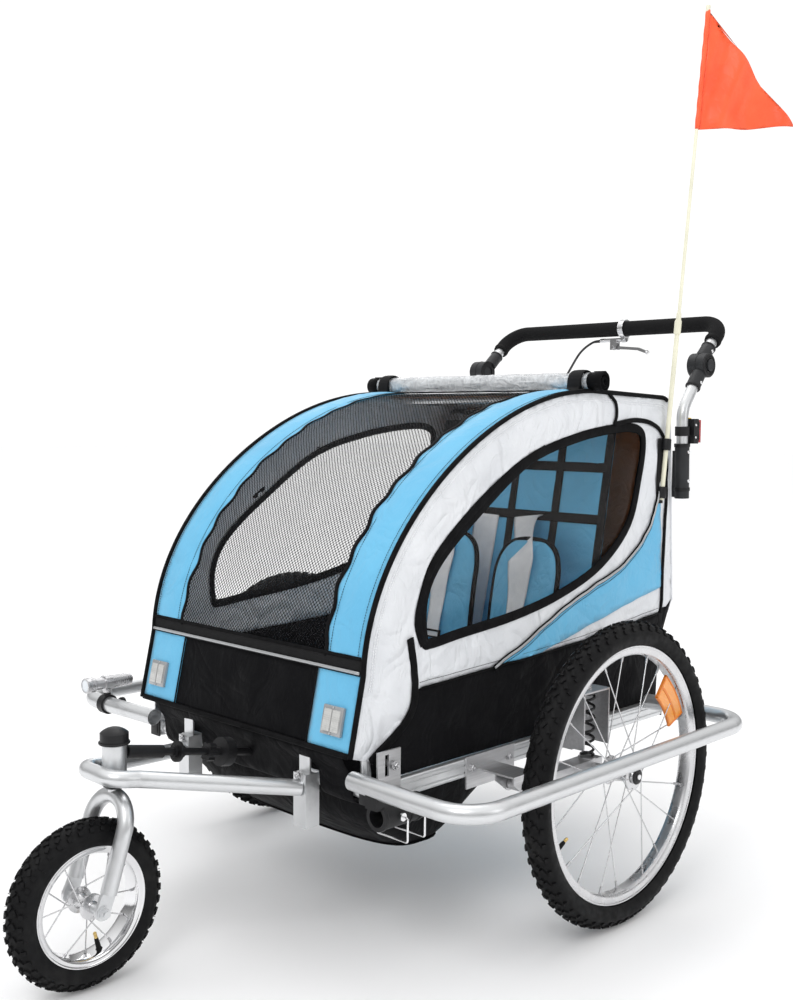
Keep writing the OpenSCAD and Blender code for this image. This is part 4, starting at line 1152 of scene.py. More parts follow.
V_TOP = V_CROWN - 4
V_NET = V_BELT + 26
net_edge = seam_row(V_NET - 6, V_TOP, 3)
sew("front_net", net_edge + [(-u, v) for u, v in net_edge[::-1]],
    cover_place(0.0, 1.5, 2.4, 90), NET, 12.0, "black_cloth", "front_cover", thick=0.4)
for label, turn in SIDES:
    seam = [(turn * u, v) for u, v in seam_row(V_BELT + 10, V_TOP)]
    outer = [(turn * (HALF - 1), v) for _, v in seam[::-1]]
    sew(label + "_blue_band", seam + outer, cover_place(0.6, 4.5, 2.6, 32, turn), BLUE_CLOTH,
        10.0, "blue_cloth")
    tape(label + "_band_seam", [shell(u, v, 1.2) for u, v in seam[1:]], 8, None, from_axis, 0.3)
    u0, u1 = sorted((turn * APRON_SEAM, turn * (HALF - 1)))
    sew(label + "_blue_apron", strip(u0, u1, 4, V_BELT + 4),
        cover_place(0.5, 3.0, 2.2, 30, turn + 3), BLUE_CLOTH, 10.0, "blue_cloth")
    cover_tape(label + "_apron_seam", turn * APRON_SEAM, turn * APRON_SEAM, 3, V_BELT, 4, 1.6)
    heights = [V_BELT + 30 + k * 12 for k in range(int((V_TOP - V_BELT - 30) / 12))]
    stitch(label + "_band_seam_stitches", [
        [shell(turn * u, v, lift) for v in heights]
        for u, lift in ((SEAM_X + 13, 2.2), (HALF - 9, 2.4))], BLACK_STRAP)
sew("black_apron", strip(-APRON_SEAM, APRON_SEAM, 0, V_BELT + 4),
    cover_place(0.0, 4.0, 3.4, 70, 9), BLACK_CLOTH, 11.0, "black_cloth", "front_apron")
sew("front_belt", strip(-HALF + 1, HALF - 1, V_BELT - 1, V_BELT + 25),
    cover_place(2.4, 1.2, 0.8, 14, 4), BLACK_STRAP, 9.0, "black_cloth", thick=1.4)
cover_tape("belt_reflective_line", -HALF + 2, HALF - 2, V_BELT + 4, V_BELT + 4, 5, 4.2,
           REFLECTIVE, 0.4)
cover_tape("belt_top_seam", -HALF + 2, HALF - 2, V_BELT + 25, V_BELT + 25, 5, 2.6)
cover_tape("apron_lower_binding", -HALF + 2, HALF - 2, 2, 2, 9, 0.6, None, 0.6)
cover_tape("net_top_seam", -HALF + 2, HALF - 2, V_TOP, V_TOP, 10, 1.6)

V_REAR_LOW = length_to(lambda p: p[0] > 390 and p[1] < 482)
sew("rear_white_cloth", strip(-HALF + 0.5, HALF - 0.5, V_TOP, V_REAR_LOW),
    cover_place(0.0, 7.0, 3.0, 120, 21), WHITE_CLOTH, 13.0, "white_cloth", "rear_panel")
sew("rear_black_cloth", strip(-HALF + 0.5, HALF - 0.5, V_REAR_LOW, V_END - 1),
    cover_place(0.0, 4.0, 3.4, 80, 22), BLACK_CLOTH, 12.0, "black_cloth")
cover_tape("rear_waist_binding", -HALF + 2, HALF - 2, V_REAR_LOW, V_REAR_LOW, 9, 1.2)
pocket_top, pocket_low = V_REAR_LOW - 190, V_REAR_LOW - 22
sew("rear_pocket", strip(-170, 170, pocket_top, pocket_low),
    cover_place(12.0, 5.0, 2.2, 60, 31), BLACK_CLOTH, 11.0, "black_cloth")
for k, (u0, u1, v0, v1) in enumerate(((-170, 170, pocket_top, pocket_top),
                                      (-170, 170, pocket_low, pocket_low),
                                      (-170, -170, pocket_top, pocket_low),
                                      (170, 170, pocket_top, pocket_low))):
    cover_tape(f"rear_pocket_binding_{k + 1}", u0, u1, v0, v1, 9, 11.6, None, 0.9)
cover_tape("rear_pocket_zip", -150, 150, pocket_top + 16, pocket_top + 16, 5, 14.6, REFLECTIVE,
           0.35)
stitch("rear_stitches", [[shell(-HALF + 14 + k * 12, v, 2.0) for k in range(43)]
                         for v in (V_TOP + 10, V_REAR_LOW - 10)], WHITE_STRAP)


def reflector(name, side):
    """A clear square reflector in its white frame, sewn on the blue part of the apron."""
    angle = math.atan2(nose(2)[0] + 471, BELT_Z - 338)
    lean = Matrix.Rotation(-angle, 3, "X")
    centre = shell(side * 224, 48, 4.6)
    bm = bmesh.new()
    add_block(bm, centre, (44, 6, 44), lean, 2.4)
    frame_piece = keep_edges_sharp(finish_mesh(name + "_frame", bm, REFLECTOR_CASE))
    belongs(frame_piece, "frame", "clear_reflector", "front_reflectors")
    bm = bmesh.new()
    for x in (-9, 9):
        add_block(bm, centre + lean @ Vector((x * MM, -3.4 * MM, 0)), (16, 3, 33), lean, 1.0)
    lens = keep_edges_sharp(finish_mesh(name + "_lens", bm, CLEAR_PRISM))
    belongs(lens, "frame", "clear_reflector")
    bm = bmesh.new()
    for z in (-19, 19):
        add_lathe(bm, [(0, 0), (0, 2.0), (1.4, 1.6), (1.8, 0)],
                  centre + lean @ Vector((0, -3 * MM, z * MM)), lean @ Vector((0, -1, 0)), 12)
    belongs(finish_mesh(name + "_rivets", bm, NUT_STEEL), "frame")


for label, turn in SIDES:
    reflector(label + "_front_reflector", turn)

# ---- finishes of the CAD nodes whose shape stays ------------------------------------------

FINISHES = (
    (SILVER_TUBE, "side_rails cross_tubes side_hoops roof_bars left_bumper right_bumper "
                  "front_arm head_tube handle_posts handle_bar fork"),
    (PLATE, "frame_brackets spring_housings left_swing_arm right_swing_arm"),
    (BLACK_PLASTIC, "tow_receiver head_caps stay_tube stay_knob tail_light lamp_clamp"),
    (GREY_PLASTIC, "post_sockets handle_knuckles left_joint_button right_joint_button"),
    (CHROME, "front_tow_pin rear_tow_pin brake_bracket brake_lever"),
    (SPRING_ENAMEL, "left_spring right_spring"),
    (SPOKE_STEEL, "front_hub"),
    (RED_LENS, "tail_lens"),
    (LAMP_SHELL, "lamp"),
    (POLE, "flag_pole"),
    (FOAM, "foam_grip"),
)
for finish, names in FINISHES:
    for name in names.split():
        for part_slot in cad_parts[name].material_slots:
            part_slot.material = finish

# ---- wheels -------------------------------------------------------------------------------


def joined(name, pieces, material):
    """Several pieces of one material as a single piece."""
    bm = bmesh.new()
    for piece in pieces:
        bm.from_mesh(piece.data)
        bpy.data.objects.remove(piece)
    mesh = bpy.data.meshes.new(name)
    bm.to_mesh(mesh)
    bm.free()
    mesh.materials.clear()
    mesh.materials.append(material)
    return linked(name, mesh)


WHISKER = 3.6           # length of the thin rubber hairs on the new front tyre


class Wheel:
    """Sizes of one wheel in millimetres, and places on it by angle and radius."""

    def __init__(self, name, body, middle, side, tyre_r, tyre_w, rim_r, rim_w, depth):
        self.name, self.body, self.middle, self.side = name, body, middle, side
        self.tyre_r, self.half = tyre_r, tyre_w / 2
        self.rim_r, self.rim_half, self.depth = rim_r, rim_w / 2, depth
        self.centre = at(*middle)
        self.axis = Vector((side, 0, 0))

    def at(self, x, angle, radius):
        a = math.radians(angle)
        mx, my, mz = self.middle
        return at(mx + self.side * x, my + radius * math.cos(a), mz + radius * math.sin(a))

    def section(self, angle, shrink=0.0):
        """(x, radius) on the tyre's casing, angle degrees round from its crown."""
        a = math.radians(angle)
        reach = self.half - (3.2 if abs(angle) < 60 else 3.2 * clamp((100 - abs(angle)) / 40))
        reach += 0.7 if round(abs(angle)) in (92, 104) else 0.0
        return ((reach - shrink) * math.sin(a) * (self.half / reach if abs(angle) > 60 else 1.0),
                self.tyre_r - self.half + (reach - shrink) * math.cos(a))

    def tyre(self, rows, hairs):
        turns = (12, 24, 36, 48, 60, 72, 84, 92, 98, 104, 108, 118, 126, 134)
        outer = [self.section(a) for a in [-a for a in turns[::-1]] + [0] + list(turns)]
        inner = [self.section(a, 4.0) for a in range(128, -129, -32)]
        casing = lathe(self.name + "_tyre", outer + inner, self.centre, RUBBER, self.axis, 112,
                       True, 50)
        belongs(casing, self.body, "tyre_rubber", self.name + "_tyre")
        blocks = []
        for x, count, phase, slant, size in rows:
            a = math.asin(x / (self.half - 3.2))
            seed = bpy.data.meshes.new("seed")
            ring = grown(self.name + "_row", TREAD_RING, seed, RUBBER, False, Count=count,
                         Radius=(self.tyre_r - self.half + (self.half - 2.2) * math.cos(a)) * MM,
                         Offset=x * MM * (self.half - 2.2) / (self.half - 3.2),
                         Phase=phase * math.tau / count, Slant=math.radians(slant), Lean=-a,
                         Size=tuple(c * MM for c in size))
            ring.data.transform(Matrix.Translation(self.centre))
            blocks.append(ring)
        belongs(joined(self.name + "_tread_blocks", blocks, RUBBER), self.body, "tyre_rubber")
        if hairs:
            pick = random.Random(7)
            runs = []
            for _ in range(hairs):
                a, turn = pick.uniform(0, 360), pick.choice((-1, 1)) * pick.uniform(20, 78)
                x, r = self.section(turn)
                x2 = x + WHISKER * math.sin(math.radians(turn))
                r2 = r + WHISKER * math.cos(math.radians(turn))
                if self.middle[2] + r2 * math.sin(math.radians(a)) > 2:
                    runs.append([self.at(x, a, r), self.at(x2, a + pick.uniform(-1, 1), r2)])
            hair = grown(self.name + "_tyre_whiskers", RODS, lines_mesh("whiskers", runs), RUBBER,
                         True, Radius=0.00035, Sides=4)
            belongs(hair, self.body, "tyre_rubber")

    def rim(self, material):
        r, h, d = self.rim_r, self.rim_half, self.depth
        outer = [(-h + 2.2, r), (-h + 0.6, r + 0.9), (-h - 0.5, r - 0.2), (-h - 0.2, r - 2.2),
                 (-h + 0.6, r - 3.4), (-h + 0.9, r - d * 0.62), (-h + 2.4, r - d * 0.84),
                 (-h + 5.5, r - d + 0.4), (-h * 0.42, r - d)]
        row = outer + [(0, r - d - 0.3)] + [(-x, y) for x, y in reversed(outer)]
        wall = [(h - 2.4, r - 1.0), (h - 3.0, r - d * 0.6), (h - 6.0, r - d + 2.2),
                (-h + 6.0, r - d + 2.2), (-h + 3.0, r - d * 0.6), (-h + 2.4, r - 1.0)]
        piece = lathe(self.name + "_rim", row + wall, self.centre, material, self.axis, 112, True,
                      28)
        belongs(piece, self.body, "rim_metal", self.name + "_rim")

    def spokes(self, count, flange, flange_r):
        runs, nipples, heads = [], [], []
        low = self.rim_r - self.depth - 0.6
        for i in range(count):
            s = 1 if i % 2 == 0 else -1
            t = 1 if (i // 2) % 2 == 0 else -1
            a = 360 * i / count
            start = self.at(s * flange + t * 1.3, a + t * 40, flange_r + 0.2)
            end = self.at(s * 4 + t * 1.3, a, low)
            runs.append([start, end])
            nipples.append([end.lerp(start, 0.062), end.lerp(start, -0.004)])
            heads.append([self.at(s * flange + t * 2.9, a + t * 40, flange_r - 3.0),
                          self.at(s * flange + t * 1.0, a + t * 40, flange_r - 2.6), start])
        wires = grown(self.name + "_spokes", RODS, lines_mesh("spokes", runs), SPOKE_STEEL, True,
                      Radius=0.00105, Sides=8)
        elbows = grown(self.name + "_spoke_elbows", RODS, lines_mesh("elbows", heads),
                       SPOKE_STEEL, True, Radius=0.0013, Sides=6)
        belongs(joined(self.name + "_hub_spokes", [wires, elbows], SPOKE_STEEL), self.body,
                "bright_wire", self.name + "_hub")
        belongs(grown(self.name + "_nipples", RODS, lines_mesh("nipples", nipples), NUT_STEEL,
                      True, Radius=0.0021, Sides=8), self.body, "bright_wire")

    def hub(self, flange, flange_r, barrel, bore):
        one = [(-flange - 6, bore), (-flange - 6, barrel * 0.78), (-flange - 5.4, barrel * 0.84),
               (-flange - 2.4, barrel * 0.9), (-flange - 1.6, flange_r - 1.2),
               (-flange - 1.1, flange_r), (-flange + 1.1, flange_r),
               (-flange + 1.6, flange_r - 1.2), (-flange + 3.4, barrel + 2.0),
               (-flange + 8, barrel * 0.92), (0, barrel * 0.86)]
        row = one + [(-x, r) for x, r in reversed(one[:-1])]
        belongs(lathe(self.name + "_hub_shell", row, self.centre, RIM_METAL, self.axis, 40, True,
                      32), self.body, "rim_metal")

    def valve(self, angle):
        low = self.rim_r - self.depth
        inward = (self.at(0, angle, 0) - self.at(0, angle, 10)).normalized()
        foot = self.at(3, angle, low + 1)
        stem = [(0, 0), (0, 5.6), (1.2, 5.4), (3.0, 3.9), (16, 3.3), (19, 3.0), (20, 2.3), (20, 0)]
        belongs(lathe(self.name + "_valve_stem", stem, foot, RUBBER, inward, 16), self.body,
                "tyre_rubber")
        tip = [(19.6, 0), (19.6, 2.5), (21, 2.7), (22, 2.4), (22.6, 2.7), (23.6, 2.4),
               (24.2, 2.7), (28, 2.6), (29, 1.8), (29, 0)]
        belongs(lathe(self.name + "_valve_tip", tip, foot, BRASS, inward, 14), self.body,
                "bright_wire")


def nut_row(name, spots, body, across=13.0, height=5.5, washer=8.6):
    """Hexagonal nuts, each on a washer with a rolled edge, at (place, direction)."""
    bm = bmesh.new()
    for place, direction in spots:
        direction = Vector(direction).normalized()
        place = Vector(place)
        add_lathe(bm, [(0, 0), (0, washer), (0.9, washer), (1.3, washer - 0.5), (1.3, 0)], place,
                  direction, 24)
        add_hex(bm, place + direction * 1.3 * MM, direction, across, height)
        add_lathe(bm, [(height + 1.2, 0), (height + 1.2, across * 0.27),
                       (height + 3.2, across * 0.27), (height + 3.9, across * 0.2),
                       (height + 3.9, 0)], place, direction, 16)
    return belongs(keep_edges_sharp(finish_mesh(name, bm, NUT_STEEL), 30), body,
                   "bright_wire")


REAR_ROWS = ((-3.7, 62, 0.0, 30, (4.2, 10.2, 5.6)), (3.7, 62, 0.5, -30, (4.2, 10.2, 5.6)),
             (-10.6, 62, 0.25, -24, (4.0, 10.4, 5.2)), (10.6, 62, 0.75, 24, (4.0, 10.4, 5.2)),
             (-17.0, 62, 0.5, 8, (4.0, 7.4, 6.6)), (17.0, 62, 0.0, -8, (4.0, 7.4, 6.6)))
FRONT_ROWS = ((-3.9, 40, 0.0, 34, (3.8, 8.6, 5.4)), (3.9, 40, 0.5, -34, (3.8, 8.6, 5.4)),
              (-11.2, 40, 0.25, -28, (3.6, 9.0, 5.0)), (11.2, 40, 0.75, 28, (3.6, 9.0, 5.0)),
              (-17.6, 40, 0.5, 6, (3.6, 6.4, 6.6)), (17.6, 40, 0.0, -6, (3.6, 6.4, 6.6)))


def amber_plate(name, wheel, body, node):
    """The curved amber reflector, with its raised border and a raised rib along its middle."""
    def bar(bm, r_low, r_high, x_low, x_high, a_low, a_high, steps, bulge=0.0):
        rings = []
        edge = 0.9
        for k in range(steps + 1):
            angle = a_low + (a_high - a_low) * k / steps
            ends = 1.0 - 0.03 * (k in (0, steps))
            mid, half = (r_low + r_high) / 2, (r_high - r_low) / 2 * ends
            corners = [(x_low, mid - half + edge), (x_low + edge, mid - half),
                       (x_high - edge, mid - half), (x_high, mid - half + edge),
                       (x_high + bulge, mid), (x_high, mid + half - edge),
                       (x_high - edge, mid + half), (x_low + edge, mid + half),
                       (x_low, mid + half - edge), (x_low - bulge, mid)]
            rings.append([bm.verts.new(wheel.at(x, angle, r)) for x, r in corners])
        skin_rings(bm, rings)

    bm = bmesh.new()
    bar(bm, 147, 187, 2.4, 6.2, 22.8, 49.2, 14, 0.5)
    plate = keep_edges_sharp(finish_mesh(name, bm, AMBER_PRISM), 40)
    belongs(plate, body, "amber", node)
    bm = bmesh.new()
    bar(bm, 144, 147.4, 1.8, 7.0, 22, 50, 14)
    bar(bm, 186.6, 190, 1.8, 7.0, 22, 50, 14)
    bar(bm, 144, 190, 1.8, 7.0, 22, 23.2, 1)
    bar(bm, 144, 190, 1.8, 7.0, 48.8, 50, 1)
    bar(bm, 164, 169, 6.0, 7.4, 22.6, 49.4, 12)
    belongs(keep_edges_sharp(finish_mesh(name + "_border", bm, AMBER_PLASTIC), 40), body, "amber")


for label, turn in SIDES:
    wheel = Wheel(label, label + "_wheel", (turn * 420, 0, 252), turn, 252, 46, 212, 28, 16)
    wheel.tyre(REAR_ROWS, 0)
    wheel.rim(RIM_METAL)
    wheel.spokes(20, 23, 24)
    wheel.hub(23, 24, 14, 6.4)
    wheel.valve(205)
    amber_plate(label + "_amber_reflector", wheel, label + "_wheel", label + "_spoke_reflector")
    cap = [(29.2, 0), (29.2, 12.5), (29.6, 13.2), (31.0, 12.6), (32.2, 10.5), (32.2, 7.5),
           (33.4, 6.8), (34.0, 0)]
    belongs(lathe(label + "_axle_cap", cap, wheel.centre, BLACK_PLASTIC, wheel.axis, 32),
            label + "_arm", "black_plastic")
    button = [(33.4, 0), (33.4, 4.6), (34.8, 4.2), (35.4, 0)]
    belongs(lathe(label + "_axle_button", button, wheel.centre, CHROME, wheel.axis, 24),
            label + "_arm", "chrome")

front = Wheel("front", "front_wheel", (0, -745, 125), 1, 125, 48, 88, 40, 12)
front.tyre(FRONT_ROWS, 260)
front.rim(CHROME)
front.spokes(12, 17, 19)
front.hub(17, 19, 10, 5.3)
front.valve(285)

# ---- footwell bag and floor ---------------------------------------------------------------


RING_POINTS = 44


def rounded_ring(half, front, back, z, corner, lumps):
    """Points round a rounded rectangle at height z, with the cloth's slack in lumps."""
    spots = []
    middle, depth = (front + back) / 2, (back - front) / 2
    for k in range(RING_POINTS):
        a = math.tau * (k + 0.5) / RING_POINTS
        power = 2.0 / max(2.2, 9.0 - corner)
        x = half * math.copysign(abs(math.cos(a)) ** power, math.cos(a))
        y = depth * math.copysign(abs(math.sin(a)) ** power, math.sin(a))
        push = 1.0 + lumps * wave(x, middle + y, z, 85, 2) + 0.5 * lumps * wave(x, y, z, 34, 4)
        spots.append((x * push, middle + y * push, z))
    return spots


def footwell():
    rows = ((293, 255.5, -412, -33.5, 0.5, 0.0), (286, 255.3, -412, -34, 0.5, 0.001),
            (272, 253.5, -413, -41, 1.0, 0.006), (255, 250, -414, -55, 2.0, 0.012),
            (236, 244, -413, -78, 3.0, 0.016), (216, 238, -406, -102, 3.6, 0.018),
            (196, 231, -388, -124, 4.2, 0.018), (176, 223, -362, -146, 4.8, 0.016),
            (158, 213, -334, -166, 5.2, 0.014), (145, 202, -316, -180, 5.6, 0.010),
            (139, 190, -303, -192, 5.8, 0.006), (137.4, 150, -280, -212, 6.0, 0.004),
            (137.0, 80, -258, -232, 6.0, 0.0))
    bm = bmesh.new()
    rings = [[bm.verts.new(at(*p)) for p in rounded_ring(half, front, back, z, corner, lumps)]
             for z, half, front, back, corner, lumps in rows]
    for low, high in zip(rings, rings[1:]):
        for k in range(len(low)):
            m = (k + 1) % len(low)
            bm.faces.new((low[k], high[k], high[m], low[m]))
    bm.faces.new(rings[-1])
    bag = finish_mesh("footwell_bag", bm, BLACK_CLOTH, outward=False)
    face_towards(bag, lambda p: (p - at(0, -230, 240)))
    places = [v.co / MM for v in bag.data.vertices]
    lay_uv(bag.data, [(p.x + p.y, p.z) for p in places])
    wall = bag.modifiers.new("cloth thickness", "SOLIDIFY")
    wall.thickness, wall.offset = 1.2 * MM, -1.0
    belongs(bag, "frame", "black_cloth", "floor_bag")
    soft = bag.modifiers.new("soft folds", "SUBSURF")
    soft.levels = soft.render_levels = 1
    for k, row in ((3, rows[3]), (9, rows[9])):
        z, half, front, back, corner, lumps = row
        seam = [at(*p) for p in rounded_ring(half + 1, front - 1, back + 1, z, corner, lumps)]
        tape(f"footwell_seam_{k}", seam, 7 if k == 3 else 5, up=Vector((0, 0, 1)), height=0.7,
             closed=True)
    stitch("footwell_stitches", [[at(*p) for p in rounded_ring(half + 2, front - 2, back + 2,
                                                               248, 2.2, 0.012)]], BLACK_STRAP)


def floor_sheet():
    def place(x, y, edge):
        return at(x, y, 292.6 + 0.9 * ease(edge / 30) * wave(x, y, 0, 60, 6))
    return sew("floor_sheet", strip(-247, 247, -32, 337), place, BLACK_CLOTH, 14.0,
               "black_cloth", thick=1.6, towards=lambda p: Vector((0, 0, 1)))


def front_wrap():
    """The black cloth that goes from the apron round the front cross tube to the footwell,
    notched for the two posts."""
    fall = [(0, -463, 335), (16, -456.5, 320.5), (36, -445, 304), (48, -441.6, 292),
            (62, -441.2, 278), (76, -438, 263), (92, -425, 254), (106, -411, 250)]

    def place(x, v, edge):
        k = next((i for i in range(1, len(fall)) if v <= fall[i][0]), len(fall) - 1)
        (v0, y0, z0), (v1, y1, z1) = fall[k - 1], fall[k]
        t = (v - v0) / (v1 - v0)
        loose = ease(abs(v - 62) / 20) * ease(edge / 12)
        return at(x, y0 + (y1 - y0) * t - 2.2 * loose * (1 + wave(x, v, 0, 40, 14)),
                  z0 + (z1 - z0) * t)

    loop = [(-240, 0), (240, 0), (240, 106), (168, 106), (168, 46), (132, 46), (132, 106),
            (-132, 106), (-132, 46), (-168, 46), (-168, 106), (-240, 106)]
    sew("front_wrap", loop, place, BLACK_CLOTH, 9.0, "black_cloth", thick=1.0,
        towards=lambda p: Vector((0, -1, 0)))


front_wrap()
footwell()
floor_cloth = floor_sheet()

# ---- seat, painted shade sheets and harness -----------------------------------------------

SEAT_FOOT = (204.0, 338.0)
SEAT_RISE = (0.1763, 0.9843)          # up the seat back, in (Y, Z)
CHILD_X = 118.0


def on_back(x, s, lift=0.0):
    """A place s millimetres up the front of the seat back and lift in front of it."""
    return at(x, SEAT_FOOT[0] + SEAT_RISE[0] * s - SEAT_RISE[1] * lift,
              SEAT_FOOT[1] + SEAT_RISE[1] * s + SEAT_RISE[0] * lift)


BACK_FACING = Vector((0, -SEAT_RISE[1], SEAT_RISE[0]))


def quilted_slab(name, place, width, length, columns, rows, thick, crown, material, step=9.0,
                 skew=0.0):
    """A padded slab: place turns (u, v, lift) into a point. Seams sink between its cells."""
    nu, nv = round(width / step), round(length / step)
    bm = bmesh.new()

    def puffed(u, v):
        cu, cv = (u / width * columns) % 1.0, (v / length * rows) % 1.0
        round_u, round_v = 1 - abs(2 * cu - 1) ** 3.2, 1 - abs(2 * cv - 1) ** 3.2
        rim = min(u, width - u, v, length - v)
        return (crown * (round_u * round_v) ** 0.6 + 0.9 * wave(u, v, 0, 38, 3)
                + 0.5 * wave(u * 1.6, v * 0.7, 5, 17, 9)) * ease(rim / 14)

    for side in (1, -1):
        grid = []
        for j in range(nv + 1):
            row = []
            for i in range(nu + 1):
                u, v = width * i / nu, length * j / nv
                rim = min(u, width - u, v, length - v)
                round_off = 1 - math.sqrt(clamp(1 - (1 - clamp(rim / (thick * 0.6))) ** 2))
                lift = side * (thick / 2) * (1 - round_off) + (puffed(u, v) if side > 0 else 0)
                pull = skew * (1 - ease(rim / 40)) * math.sin(math.pi * v / length)
                row.append(bm.verts.new(place(u - width / 2 + pull * (0.5 - u / width), v,
                                              lift - thick / 2)))
            grid.append(row)
        for j in range(nv):
            for i in range(nu):
                bm.faces.new((grid[j][i], grid[j][i + 1], grid[j + 1][i + 1], grid[j + 1][i]))
    bmesh.ops.remove_doubles(bm, verts=bm.verts, dist=2e-5)
    piece = finish_mesh(name, bm, material)
    lay_pad_uv(piece.data)
    return piece


PUFF_FRAMES = 18        # length of the cloth run that swells a cushion


def puff_up(piece, voxel, pressure, cap):
    """Fills a pad with air by a short cloth run. No point moves more than cap millimetres."""
    remesh = piece.modifiers.new("even mesh", "REMESH")
    remesh.mode, remesh.voxel_size = "VOXEL", voxel * MM
    graph = bpy.context.evaluated_depsgraph_get()
    mesh = bpy.data.meshes.new_from_object(piece.evaluated_get(graph), depsgraph=graph)
    piece.modifiers.remove(remesh)
    material = piece.data.materials[0]
    piece.data = mesh
    mesh.materials.clear()
    mesh.materials.append(material)
    before = [v.co.copy() for v in mesh.vertices]
    cloth = piece.modifiers.new("air", "CLOTH")
    cloth.settings.use_pressure = True
    cloth.settings.uniform_pressure_force = pressure
    cloth.settings.effector_weights.gravity = 0.0
    cloth.settings.quality = 5
    scene = bpy.context.scene
    for number in range(1, PUFF_FRAMES + 1):
        scene.frame_set(number)
    graph = bpy.context.evaluated_depsgraph_get()
    after = bpy.data.meshes.new_from_object(piece.evaluated_get(graph), depsgraph=graph)
    piece.modifiers.remove(cloth)
    for v, start, moved in zip(mesh.vertices, before, after.vertices):
        step = moved.co - start
        v.co = start + step * min(1.0, cap * MM / max(step.length, 1e-9))
    bpy.data.meshes.remove(after)
    scene.frame_set(1)
    shade_smooth(mesh)
    lay_pad_uv(mesh)
    smooth = piece.modifiers.new("soft", "SUBSURF")
    smooth.levels = smooth.render_levels = 1
    return piece


def seat_parts():
    back = quilted_slab("seat_back", lambda u, v, lift: on_back(u - 20.5, v + 6, lift), 437, 492,
                        4, 5, 13.0, 3.0, BLUE_PADDED_LIT, 9.0)
    belongs(back, "frame", "blue_cloth", "seat")
    for label, turn in SIDES:
        base = quilted_slab(label + "_seat_cushion", lambda u, v, lift: at(
            turn * 121 + u, -44 + v, 336.5 + lift - 0.02 * v), 236, 244, 1, 1, 38.0, 3.0,
            BLUE_PADDED_LIT, 10.0, 10.0)
        puff_up(base, 8.0, 3.0, 6.0)
        belongs(base, "frame", "blue_cloth")
        edge = [at(turn * 121 + x * 117, 78 + y * 121, 319) for x, y in
                ((-1, -1), (0, -1.02), (1, -1), (1.01, 0), (1, 1), (0, 1.01), (-1, 1), (-1.01, 0))]
        tape(label + "_cushion_piping", smooth_line(edge, 6, True), 5, closed=True, height=1.0)
    straps = []
    for k, x in enumerate((-232, -27, 83, 194)):
        straps.append((f"seat_grid_upright_{k + 1}", [on_back(x, 8 + 12 * j, 1.6 + 1.0 * abs(
            math.sin(j * 0.4))) for j in range(41)]))
    for k, s in enumerate((14, 307, 408, 490)):
        straps.append((f"seat_grid_crossing_{k + 1}", [on_back(-239 + 12 * j, s, 2.2 + 1.0 * abs(
            math.sin(j * 0.5 + k))) for j in range(37)]))
    for name, row in straps:
        tape(name, row, 19, BLACK_STRAP, BACK_FACING, 0.1)
    lip = [at(-238 + 12 * k, 309, 848 + 1.5 * math.sin(k)) for k in range(41)]
    tape("seat_back_top_binding", lip, 12, height=0.8)


# dark brown sheets of painted shade inside the rear panels, for the shaded back of the cabin
def shade_sheets():
    def place(u, v, edge):
        return shell(u, v, -7.0 - 2.5 * ease(edge / 60) + 3.0 * ease(edge / 30)
                     * wave(u, v, 0, 70, 12))
    for name, v0, v1 in (("rear_shade_sheet", V_TOP + 12, V_REAR_LOW),
                         ("boot_shade_sheet", V_REAR_LOW, V_END - 12)):
        sew(name, strip(-HALF + 22, HALF - 22, v0, v1), place, SHADE_SHEET, 15.0, "black_cloth",
            thick=0.8, towards=lambda p: -from_axis(p))


def buckle(bm, place, width, height):
    """A ladder-lock adjuster: a rounded frame with a bar across it."""
    for u, v, w, h in ((0, height / 2, width, 4), (0, -height / 2, width, 4), (0, 0, width, 3.4),
                       (-width / 2 + 2, 0, 4, height), (width / 2 - 2, 0, 4, height)):
        centre, turn = place(u, v)
        add_block(bm, centre, (w, 4.2, h), turn, 0.9)


